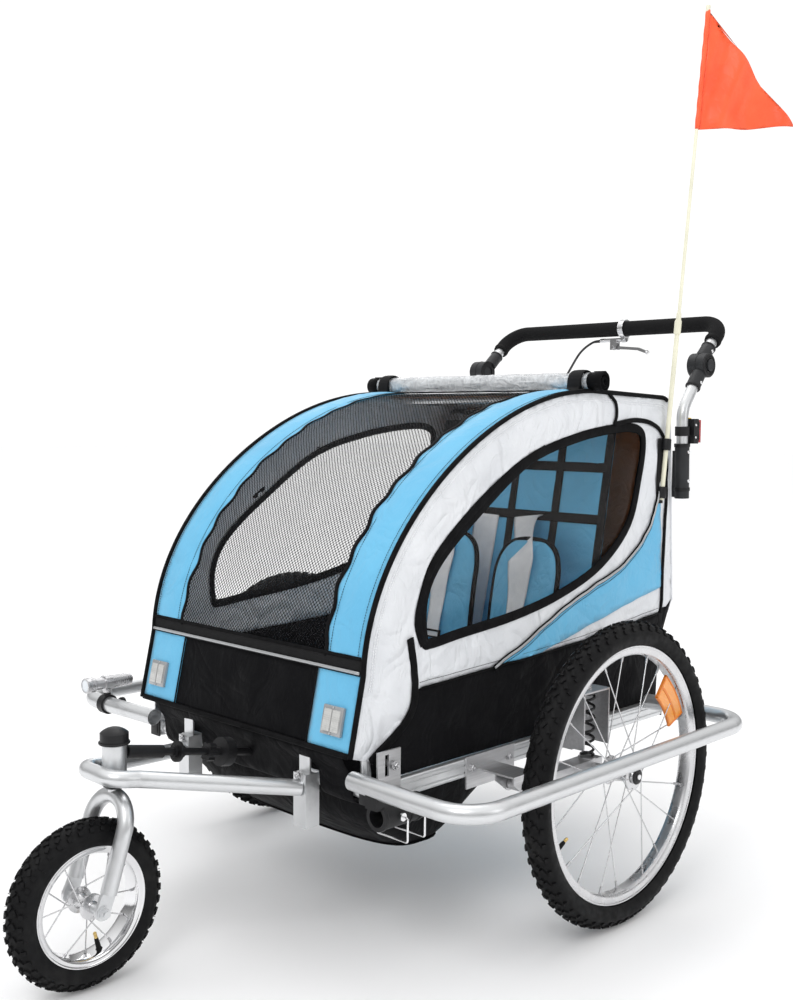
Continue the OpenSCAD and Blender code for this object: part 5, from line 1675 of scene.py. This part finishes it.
def harness():
    lean = Matrix.Rotation(-math.atan2(SEAT_RISE[0], SEAT_RISE[1]), 3, "X")
    for label, turn in SIDES:
        middle = turn * CHILD_X
        belts, pads, edging, locks = [], bmesh.new(), [], bmesh.new()
        x = turn * 100
        row = [(x - 78 + 74 * ease(t / 0.36), 304 - 268 * t, 5 + 103 * ease(t / 0.34)
                + 1.4 * math.sin(t * 17 + turn)) for t in (k / 44 for k in range(45))]
        belts.append(tube("belt", [on_back(*p) for p in row],
                          [36 - 19 * ease(k / 40) for k in range(45)], WHITE_STRAP, sides=10,
                          flat=0.05, up=BACK_FACING))
        if turn < 0:
            straight = [on_back(-88 - 0.2 * k, 302 - 7 * k, 4.5) for k in range(40)]
            belts.append(tube("belt", straight, [33 - 6 * k / 40 for k in range(40)],
                              WHITE_STRAP, sides=10, flat=0.05, up=BACK_FACING))
        pad = quilted_slab("pad", lambda u, v, lift: on_back(
            x + u * max(0.06, (1 - clamp((v - 146) / 88) ** 2.6) ** 0.385), 20 + v,
            92 + lift + 7 * math.sin(math.pi * clamp(v / 234))), 150, 234, 1, 1, 16.0, 5.0,
            BLUE_PADDED_LIT, 6.0)
        pads.from_mesh(pad.data)
        bpy.data.objects.remove(pad)
        ring = [on_back(x + u, 137 + v, 85 + 7 * math.sin(math.pi * clamp((v + 117) / 234)))
                for u, v in smooth_line(
            [(-75, -108), (-68, -116), (68, -116), (75, -108), (75, 30), (72, 66), (61, 95),
             (38, 112), (0, 117), (-38, 112), (-61, 95), (-72, 66), (-75, 30)], 5, True)]
        edging.append(tube("edge", ring, 5.0, BINDING, sides=8, closed=True))
        buckle(locks, lambda u, v: (on_back(x - 4 + u, 38 + v, 109), lean), 42, 26)
        belongs(joined(label + "_shoulder_belts", belts, WHITE_STRAP), "frame", "webbing",
                "harness")
        padding = finish_mesh(label + "_shoulder_pads", pads, BLUE_PADDED_LIT)
        lay_pad_uv(padding.data)
        belongs(padding, "frame", "blue_cloth")
        belongs(joined(label + "_pad_edging", edging, BINDING), "frame", "black_cloth")
        belongs(keep_edges_sharp(finish_mesh(label + "_belt_adjusters", locks, BLACK_PLASTIC)),
                "frame", "black_plastic")
        crotch = quilted_slab(label + "_crotch_pad", lambda u, v, lift: at(
            middle + u, 38 + v, 352 + lift + 0.04 * v), 56, 92, 1, 1, 10.0, 2.6, BLUE_PADDED_LIT, 5.0)
        puff_up(crotch, 4.0, 3.0, 3.0)
        belongs(crotch, "frame", "blue_cloth")
        ring = [at(middle + u, 84 + v, 347.5) for u, v in smooth_line(
            [(-28, -40), (-20, -46), (20, -46), (28, -40), (28, 40), (20, 46), (-20, 46),
             (-28, 40)], 5, True)]
        tape(label + "_crotch_pad_edging", ring, 6, closed=True, height=1.0)
        strap = [at(middle, y, z) for y, z in smooth_line(
            [(40, 352), (28, 356), (10, 358), (-8, 357), (-20, 350)], 5)]
        tape(label + "_crotch_belt", strap, 26, WHITE_STRAP, Vector((0, 0.2, 1)), 0.12)
        bm = bmesh.new()
        add_block(bm, at(middle, 6, 361), (44, 40, 9), None, 3.0)
        add_block(bm, at(middle, 6, 365), (20, 18, 4), None, 1.6)
        belongs(keep_edges_sharp(finish_mesh(label + "_harness_buckle", bm, BLACK_PLASTIC)),
                "frame", "black_plastic")


seat_parts()
shade_sheets()
harness()

# ---- rolled rain cover --------------------------------------------------------------------

ROLL_Y, ROLL_Z = 117.0, 900.3
STRAP_X = 240           # where a strap goes round the roll and pinches it


def rain_roll():
    """The clear cover rolled on the roof: a creased outer turn over the inner ones, and its
    black bound edges showing as a spiral at each end."""
    for name, radius, seed in (("rain_cover_roll", 16.4, 3.0),
                               ("rain_cover_inner_turns", 11.0, 8.0)):
        bm = bmesh.new()
        around, along = 30, 110
        rings = []
        for k in range(along + 1):
            x = -270 + 540 * k / along
            pinch = 1.6 * math.exp(-((abs(x) - STRAP_X) / 16) ** 2)
            ring = []
            for j in range(around):
                a = math.tau * j / around
                y, z = math.cos(a), math.sin(a)
                crease = abs(noise.noise(Vector((x / 62 + seed, y * 1.9, z * 1.9))))
                fold = noise.noise(Vector((x / 17, y * 2.6 + seed, z * 2.6)))
                r = radius - pinch - 3.0 * crease + 1.3 * fold
                ring.append(bm.verts.new(at(x, ROLL_Y + r * y, ROLL_Z + max(-16.8, r * z))))
            rings.append(ring)
        skin_rings(bm, rings)
        film = keep_edges_sharp(finish_mesh(name, bm, ROLL_FILM), 24)
        belongs(film, "frame", "clear_film", *(["rain_cover_roll"] if seed == 3.0 else []))
    for label, turn in SIDES:
        turns, steps = 5.2, 150
        bm = bmesh.new()
        rows = []
        for k in range(steps + 1):
            a = math.tau * turns * k / steps
            r = 3.0 + 14.6 * k / steps + 0.5 * math.sin(a * 2.3)
            wide = 27 + 2.2 * math.sin(a * 0.7 + turn)
            row = []
            for x, dr in ((264, 0), (264 + wide, 0), (264 + wide, 1.5), (264, 1.5)):
                row.append(bm.verts.new(at(turn * x, ROLL_Y + (r + dr) * math.cos(a),
                                           ROLL_Z + (r + dr) * math.sin(a))))
            rows.append(row)
        skin_rings(bm, rows)
        belongs(finish_mesh(label + "_roll_bound_end", bm, BINDING), "frame", "black_cloth")
        loop = [at(turn * STRAP_X, ROLL_Y + 19.4 * math.cos(a),
                   ROLL_Z + max(-17.0, 19.4 * math.sin(a))) for a in circle(40)]
        strap = tube(label + "_roll_strap", loop, 15, BLACK_STRAP, sides=10, flat=0.11,
                     closed=True, up=lambda p: p - at(turn * STRAP_X, ROLL_Y, ROLL_Z))
        belongs(strap, "frame", "webbing", *(["cover_straps"] if turn > 0 else []))
        tail = [at(turn * STRAP_X, y, z) for y, z in smooth_line(
            [(ROLL_Y - 19.6, 906), (ROLL_Y - 21.4, 896), (ROLL_Y - 22.6, 888),
             (ROLL_Y - 30, 884.6), (ROLL_Y - 42, 884)], 5)]
        tape(label + "_roll_strap_tail", tail, 29, BLACK_STRAP, lambda p: Vector((0, -0.7, 0.7)),
             0.09)


rain_roll()

# ---- flag and pole ------------------------------------------------------------------------

POLE_FOOT = Vector((276, 335, 680))
POLE_TOP = Vector((300, 421, 1613))
POLE_UP = (POLE_TOP - POLE_FOOT).normalized()
FLAG_OUT = Vector((0.6, 0.8, 0))     # the way the flag flies


def along_pole(up, away=0.0):
    """A place up the pole, and away from its middle towards the flag."""
    p = POLE_FOOT + POLE_UP * up + FLAG_OUT * away
    return at(p.x, p.y, p.z)


def flag_and_fittings():
    out = FLAG_OUT
    top = POLE_TOP + out * 3.5 - POLE_UP * 6
    flat = POLE_UP.cross(out).normalized()

    def place(down, away, edge):
        swing = ease(away / 90)
        ripple = 10.0 * swing * math.sin(away / 21 + down / 70) + 4.0 * ease(away / 40) * wave(
            down, away, 0, 62, 5)
        fold = 6.0 * ease(edge / 14) * (abs(((down * 0.3 + away) / 34) % 2 - 1) - 0.5)
        p = top - POLE_UP * down + out * (away * (1 - 0.012 * swing)) + flat * (ripple + fold)
        return at(p.x, p.y, p.z)

    sew("flag_film", [(0, 0), (224, 0), (211, 193)], place, FLAG_CLOTH, 7.0, "flag_cloth",
        "flag", thick=0.35, towards=lambda p: flat)
    length = (POLE_TOP - POLE_FOOT).length
    hem = [along_pole(length - 4 - 9 * k, 0.6) for k in range(26)]
    belongs(tube("flag_sleeve", hem, [4.6 + 0.5 * math.sin(k * 1.7) for k in range(26)],
                 FLAG_CLOTH, sides=12), "frame", "flag_cloth")
    belongs(lathe("pole_tip", rounded_profile(14, 4.4, 2.0), along_pole(length - 8), POLE,
                  POLE_UP, 20), "frame", "pole")
    ferrule = [(0, 4.6), (0, 6.2), (2, 6.6), (24, 6.6), (26, 6.2), (27, 5.0), (40, 4.7), (40, 3.0),
               (0, 3.0)]
    belongs(lathe("pole_joint_sleeve", ferrule, along_pole(318), POLE, POLE_UP, 24, True),
            "frame", "pole")
    cup = [(0, 4.8), (0, 8.4), (3, 9.0), (20, 8.6), (22, 7.6), (22, 4.8)]
    for k, up in enumerate((4, 96)):
        belongs(lathe(f"pole_holder_{k + 1}", cup, along_pole(up), BLACK_PLASTIC, POLE_UP, 24,
                      True), "frame", "black_plastic")
    patch = [at(272.5, 335 + dy, 690 + dz) for dy, dz in ((-1, -16), (-1, 0), (0, 60), (2, 108))]
    tape("pole_pocket_strap", patch, 24, BLACK_STRAP, Vector((1, 0, 0)), 0.1)


flag_and_fittings()

# ---- push handle, brake and lights --------------------------------------------------------

JOINT_Y, JOINT_Z = 460.0, 941.0
BAR_Y, BAR_Z = 560.0, 1031.0
POST_DOWN = Vector((0, -0.6236, -0.7817))
BAR_UP = Vector((0, 0.7433, 0.6690))


def domes(name, spots, body, radius=3.4, material=None, slot="chrome"):
    """Round-headed rivets at (place, direction)."""
    bm = bmesh.new()
    for place, direction in spots:
        add_lathe(bm, [(-0.6, 0), (-0.6, radius), (0.4, radius), (1.2, radius * 0.82),
                       (1.9, radius * 0.45), (2.1, 0)], place, direction, 16)
    return belongs(keep_edges_sharp(finish_mesh(name, bm, material or CHROME), 40), body, slot)


def handle_details():
    y0, z0 = JOINT_Y, JOINT_Z
    for label, turn in SIDES:
        side = Vector((turn, 0, 0))
        ring = [(0, 14.0), (0, 23.2), (1.6, 22.6), (2.4, 21.0), (2.4, 19.4), (1.0, 18.6),
                (1.0, 16.2), (2.2, 15.4), (2.2, 14.0)]
        belongs(lathe(label + "_joint_ring", ring, at(turn * 299, y0, z0), BLACK_PLASTIC, side,
                      48, True), "frame", "black_plastic")
        disc = [(0, 12.4), (0, 23.6), (1.4, 23.4), (1.9, 21.5), (1.9, 12.4)]
        belongs(lathe(label + "_joint_back_ring", disc, at(turn * 265, y0, z0), BLACK_PLASTIC,
                      -side, 48, True), "handle", "black_plastic")
        cap = [(0, 0), (0, 11.6), (0.8, 11.8), (1.8, 11.0), (1.8, 8.2), (1.2, 7.6), (1.2, 0)]
        belongs(lathe(label + "_button_cap", cap, at(turn * 303, y0, z0), GREY_PLASTIC, side, 40),
                label + "_button", "black_plastic")
        seam = [at(turn * 281.85, y0 + 24.2 * math.cos(a), z0 + 24.2 * math.sin(a))
                for a in circle(48)]
        belongs(tube(label + "_joint_seam", seam, 0.5, BLACK_PLASTIC, sides=6, closed=True),
                "frame", "black_plastic")
        down = Vector((turn * 285, y0, z0)) + POST_DOWN * 44
        up = Vector((turn * 273.5, y0, z0)) + BAR_UP * 44
        domes(label + "_post_rivets", [
            (at(down.x + turn * 14, down.y, down.z), side),
            (at(turn * 299, 393.5, 716), side), (at(turn * 299, 391.6, 772), side)], "frame")
        domes(label + "_bar_rivets", [(at(up.x + turn * 14, up.y, up.z), side)], "handle")
        for body, start, direction, k in (("frame", down, POST_DOWN, 1),
                                          ("handle", up, BAR_UP, 2)):
            collar = [(0, 10.8), (0, 14.6), (1.2, 15.0), (3.4, 15.0), (4.4, 14.4), (4.4, 10.8)]
            spot = start + direction * 9
            belongs(lathe(f"{label}_neck_collar_{k}", collar, at(*spot), BLACK_PLASTIC, direction,
                          32, True), body, "black_plastic")
        for k, z in enumerate((696, 781)):
            band = [(0, 13.6), (0, 15.0), (1, 15.4), (6, 15.4), (7, 15.0), (7, 13.6)]
            y = 394 - 0.031 * (z - 690)
            belongs(lathe(f"{label}_socket_band_{k + 1}", band, at(turn * 285, y, z),
                          BLACK_PLASTIC, (0, -0.0309, 0.9995), 32, True), "frame",
                    "black_plastic")
    ends = [(0, 11.4), (0, 16.4), (1.4, 17.0), (4.5, 17.0), (5.5, 16.2), (5.5, 11.4)]
    for label, turn in SIDES:
        p = Vector((turn * 273.5, y0, z0)) + BAR_UP * 76
        belongs(lathe(label + "_grip_end_ring", ends, at(*p), RUBBER, BAR_UP, 36, True), "handle",
                "black_plastic")


def brake_details():
    y, z = BAR_Y, BAR_Z - 24
    barrel = [(0, 0), (0, 3.2), (1, 4.6), (3, 4.9)]
    for k in range(5):
        barrel += [(3.6 + 2 * k, 4.9), (4.2 + 2 * k, 4.3), (5.0 + 2 * k, 4.3), (5.4 + 2 * k, 4.9)]
    barrel += [(14.4, 4.6), (15, 3.0), (18, 2.8), (18, 0)]
    belongs(lathe("cable_barrel_adjuster", barrel, at(-10, y, z), CHROME, (-1, 0, 0), 28),
            "handle", "chrome")
    boot = [(0, 0), (0, 3.6), (6, 3.4), (12, 2.9), (20, 2.6), (20, 0)]
    belongs(lathe("cable_end_boot", boot, at(-23, y, z), CABLE_SHEATH, (-1, -0.05, -0.1), 16),
            "handle", "cable_sheath")
    bm = bmesh.new()
    add_hex(bm, at(12, y - 8, BAR_Z - 40), (0, -1, 0), 7.5, 3.0)
    add_hex(bm, at(12, y + 7, BAR_Z - 40), (0, 1, 0), 7.5, 3.0)
    belongs(keep_edges_sharp(finish_mesh("lever_pivot_screw", bm, CHROME), 30), "lever", "chrome")
    bm = bmesh.new()
    add_hex(bm, at(36, y - 5, BAR_Z - 21.5), (0, -1, 0), 7.0, 4.0)
    add_lathe(bm, [(0, 0), (0, 5.4), (1.4, 5.8), (5.4, 5.8), (6.8, 5.2), (6.8, 0)],
              at(36, y + 5, BAR_Z - 21.5), (0, 1, 0), 10)
    add_block(bm, at(36, y, BAR_Z - 26), (12, 3.0, 8), None, 1.0)
    belongs(keep_edges_sharp(finish_mesh("brake_screws", bm, CHROME), 30), "handle", "chrome")
    for k, x in enumerate((30.4, 41.6)):
        ring = [at(x, y + 19.2 * math.cos(a), BAR_Z + 19.2 * math.sin(a)) for a in circle(48)]
        belongs(tube(f"brake_clamp_rim_{k + 1}", ring, 0.8, CHROME, sides=8, closed=True),
                "handle", "chrome")
    route = smooth_line([(-24.3, 560, 1007), (-45, 558, 1004), (-70, 548, 983), (-86, 528, 941),
                         (-94, 486, 880), (-98, 440, 822), (-99, 412, 750), (-99, 408, 650),
                         (-99, 412, 550), (-99, 414, 470), (-99, 398, 400), (-99, 368, 340),
                         (-99, 352, 305), (-99, 350, 286)], 8)
    path = [at(*p) for p in even_line(route, 6)]
    cable = tube("sheathed_brake_cable", path, 2.5, CABLE_SHEATH, sides=12)
    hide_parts("brake_cable")
    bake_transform(cable)
    length = sum((b - a).length for a, b in zip(path, path[1:]))
    return cable, path, length


def lights():
    border = []
    for x, z in smooth_line([(-16, -20), (0, -21.5), (16, -20), (16.6, 0), (16, 20), (0, 21.5),
                             (-16, 20), (-16.6, 0)], 5, True):
        border.append(at(285 + x, 421.5, 812 + z))
    belongs(tube("tail_light_rim", border, 1.7, BLACK_PLASTIC, sides=8, closed=True), "frame",
            "black_plastic")
    belongs(lathe("tail_light_switch", [(0, 0), (0, 5.6), (1.2, 5.4), (2.0, 4.0), (2.2, 0)],
                  at(285, 412, 836), YELLOW_SPOT, (0, 0, 1), 24), "frame", "amber")
    bm = bmesh.new()
    for k in range(6):
        add_block(bm, at(285, 432.6, 796 + 6.4 * k), (27, 1.6, 1.6), None, 0.5)
    belongs(finish_mesh("tail_lens_ribs", bm, RED_LENS), "frame", "red_lens")
    domes("tail_light_screws", [(at(303, 410, 800), (1, 0, 0)), (at(303, 410, 824), (1, 0, 0))],
          "frame", 2.4)
    y, z, x = -460, 340, -400
    grooves = [(-40, 10.8), (-40, 11.5)]
    for k in range(7):
        grooves += [(-39 + 4.2 * k, 11.6), (-38.2 + 4.2 * k, 11.6), (-37.8 + 4.2 * k, 11.15),
                    (-36.0 + 4.2 * k, 11.15), (-35.6 + 4.2 * k, 11.6)]
    grooves += [(-9.4, 11.6), (-9, 10.8)]
    belongs(lathe("lamp_knurled_barrel", grooves, at(x, y, z), LAMP_SHELL, (0, -1, 0), 40, True),
            "lamp", "lamp_metal")
    bezel = [(28, 10.9), (28, 13.9), (30, 14.3), (33, 13.6), (36, 14.3), (40, 14.3), (42, 13.6),
             (45.6, 13.8), (46.4, 13.0), (46.4, 11.1), (42, 10.9)]
    belongs(lathe("lamp_bezel", bezel, at(x, y, z), LAMP_SHELL, (0, -1, 0), 40, True), "lamp",
            "lamp_metal")
    bowl = [(40.3, 3.0), (41.0, 5.6), (42.6, 8.6), (44.6, 10.8), (44.0, 11.0), (40.0, 11.0),
            (40.0, 3.0)]
    belongs(lathe("lamp_bowl", bowl, at(x, y, z), CHROME, (0, -1, 0), 36, True), "lamp",
            "lamp_metal")
    belongs(lathe("lamp_glass", [(44.6, 0), (44.6, 10.9), (45.4, 10.9), (45.9, 6.0), (46.0, 0)],
                  at(x, y, z), LAMP_LENS, (0, -1, 0), 36), "lamp", "clear_reflector")
    belongs(lathe("lamp_tail_switch", [(0, 0), (0, 8.4), (1.6, 8.0), (2.6, 5.6), (4.4, 5.2),
                                       (5.2, 0)], at(x, y + 48, z), BLACK_PLASTIC, (0, 1, 0), 28),
            "lamp", "black_plastic")
    knob = bmesh.new()
    add_lathe(knob, [(0, 0), (0, 8.6), (1.2, 9.2), (6.6, 9.2), (7.8, 8.4), (7.8, 0)],
              at(x, y + 28, 298), (0, 1, 0), 12)
    belongs(keep_edges_sharp(finish_mesh("lamp_clamp_knob", knob, BLACK_PLASTIC), 25), "frame",
            "black_plastic")


handle_details()
cable, cable_path, cable_length = brake_details()
tuple(cable_path[0])
[tuple(p) for p in cable_path]
lights()

# ---- nuts, plugs, caps and rings of the chassis --------------------------------------------


def suspension_spring(label, turn):
    """A wound spring in the CAD spring's box, built at one length; the real one shortens as its
    swing arm rises under it.
    """
    low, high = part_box(label + "_spring")
    middle = (low + high) / 2
    wire, turns = 2.4 * MM, 7
    radius = (high.x - low.x) / 2 - wire
    bottom, top = low.z + wire * 1.3, high.z - wire * 1.3
    path = []
    for k in range(turns * 28 + 1):
        a, t = math.tau * k / 28, k / (turns * 28)
        rise = clamp((t - 0.08) / 0.84)
        path.append(Vector((middle.x + turn * radius * math.cos(a), middle.y + radius
                            * math.sin(a), bottom + (top - bottom) * rise)))
    coil = tube(label + "_wound_spring", path, wire / MM, SPRING_ENAMEL, sides=10)
    belongs(coil, "frame", "black_spring", label + "_spring")
    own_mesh(coil)


for label, turn in SIDES:
    suspension_spring(label, turn)


def chassis_details():
    for label, turn in SIDES:
        out = Vector((turn, 0, 0))
        nut_row(label + "_bracket_nuts", [(at(turn * 289.6, -400, 319), out),
                                          (at(turn * 286.1, -223, 278), out),
                                          (at(turn * 286.1, -129, 278), out)], "frame", 10, 4.4,
                7.2)
        nut_row(label + "_pivot_nut", [(at(turn * 369.2, -185, 256), out)], "frame", 14, 6, 10)
        nut_row(label + "_spring_nuts", [(at(turn * 350, 1, 380.2), Vector((0, 0, 1))),
                                         (at(turn * 324, 0, 292.2), Vector((0, 0, 1)))], "frame",
                10, 4.4, 7.2)
        nut_row(label + "_post_nuts", [(at(turn * 150, -466.2, 288), Vector((0, -1, 0)))],
                "frame", 10, 4.2, 7.4)
        bm = bmesh.new()
        for y, end in ((-440, -1), (340, 1)):
            add_block(bm, at(turn * 270, y + end * 1.6, 278), (26.4, 3.2, 30.4), None, 1.4)
            add_block(bm, at(turn * 270, y + end * 3.4, 278), (16, 1.6, 20), None, 0.7)
        belongs(keep_edges_sharp(finish_mesh(label + "_rail_plugs", bm, BLACK_PLASTIC)), "frame",
                "black_plastic")
        coil_seat = [(0, 3.0), (0, 15.4), (1.2, 15.8), (2.4, 15.2), (2.4, 3.0)]
        belongs(lathe(label + "_spring_cup", coil_seat, at(turn * 350, 1, 377), BLACK_PLASTIC,
                      (0, 0, -1), 32, True), "frame", "black_plastic")
        for k, (y, z, r) in enumerate(((-22, 330, 4.2), (24, 330, 4.2), (24, 300, 3.4),
                                       (-22, 300, 3.4))):
            domes(f"{label}_housing_rivet_{k + 1}", [(at(turn * 332.2, y, z), -out),
                                                     (at(turn * 335.2, y, z), out)], "frame", r,
                  NUT_STEEL, "bright_wire")
    ring = [(0, 17.0), (0, 22.6), (1.0, 23.2), (2.6, 23.2), (3.4, 22.4), (3.4, 17.0)]
    belongs(lathe("head_cap_ring", ring, at(0, -695, 351.4), BLACK_PLASTIC, (0, 0, 1), 44, True),
            "frame", "black_plastic")
    belongs(lathe("head_cup_ring", ring, at(0, -695, 303.8), BLACK_PLASTIC, (0, 0, -1), 44, True),
            "frame", "black_plastic")
    weld = []
    for z, r in ((305.2, 18.6), (350.6, 18.6)):
        weld.append(tube("weld", [at(r * math.cos(a), -695 + r * math.sin(a), z)
                                  for a in circle(44)], 1.0, SILVER_TUBE, sides=6, closed=True))
    belongs(joined("head_tube_beads", weld, SILVER_TUBE), "frame", "silver_tube")
    mouth = [(-1.2, 14.1), (-1.2, 20.3), (0.8, 21.2), (3.8, 21.2), (4.8, 20.2), (4.8, 14.1)]
    belongs(lathe("tow_socket_lip", mouth, at(308, -456, 258), BLACK_PLASTIC, (0, 1, 0), 40, True),
            "frame", "black_plastic")
    for k, y in enumerate((-404, -384)):
        band = [(0, 19.6), (0, 21.0), (0.8, 21.6), (4.2, 21.6), (5.0, 21.0), (5.0, 19.6)]
        belongs(lathe(f"tow_socket_band_{k + 1}", band, at(308, y, 258), BLACK_PLASTIC, (0, 1, 0),
                      40, True), "frame", "black_plastic")


chassis_details()
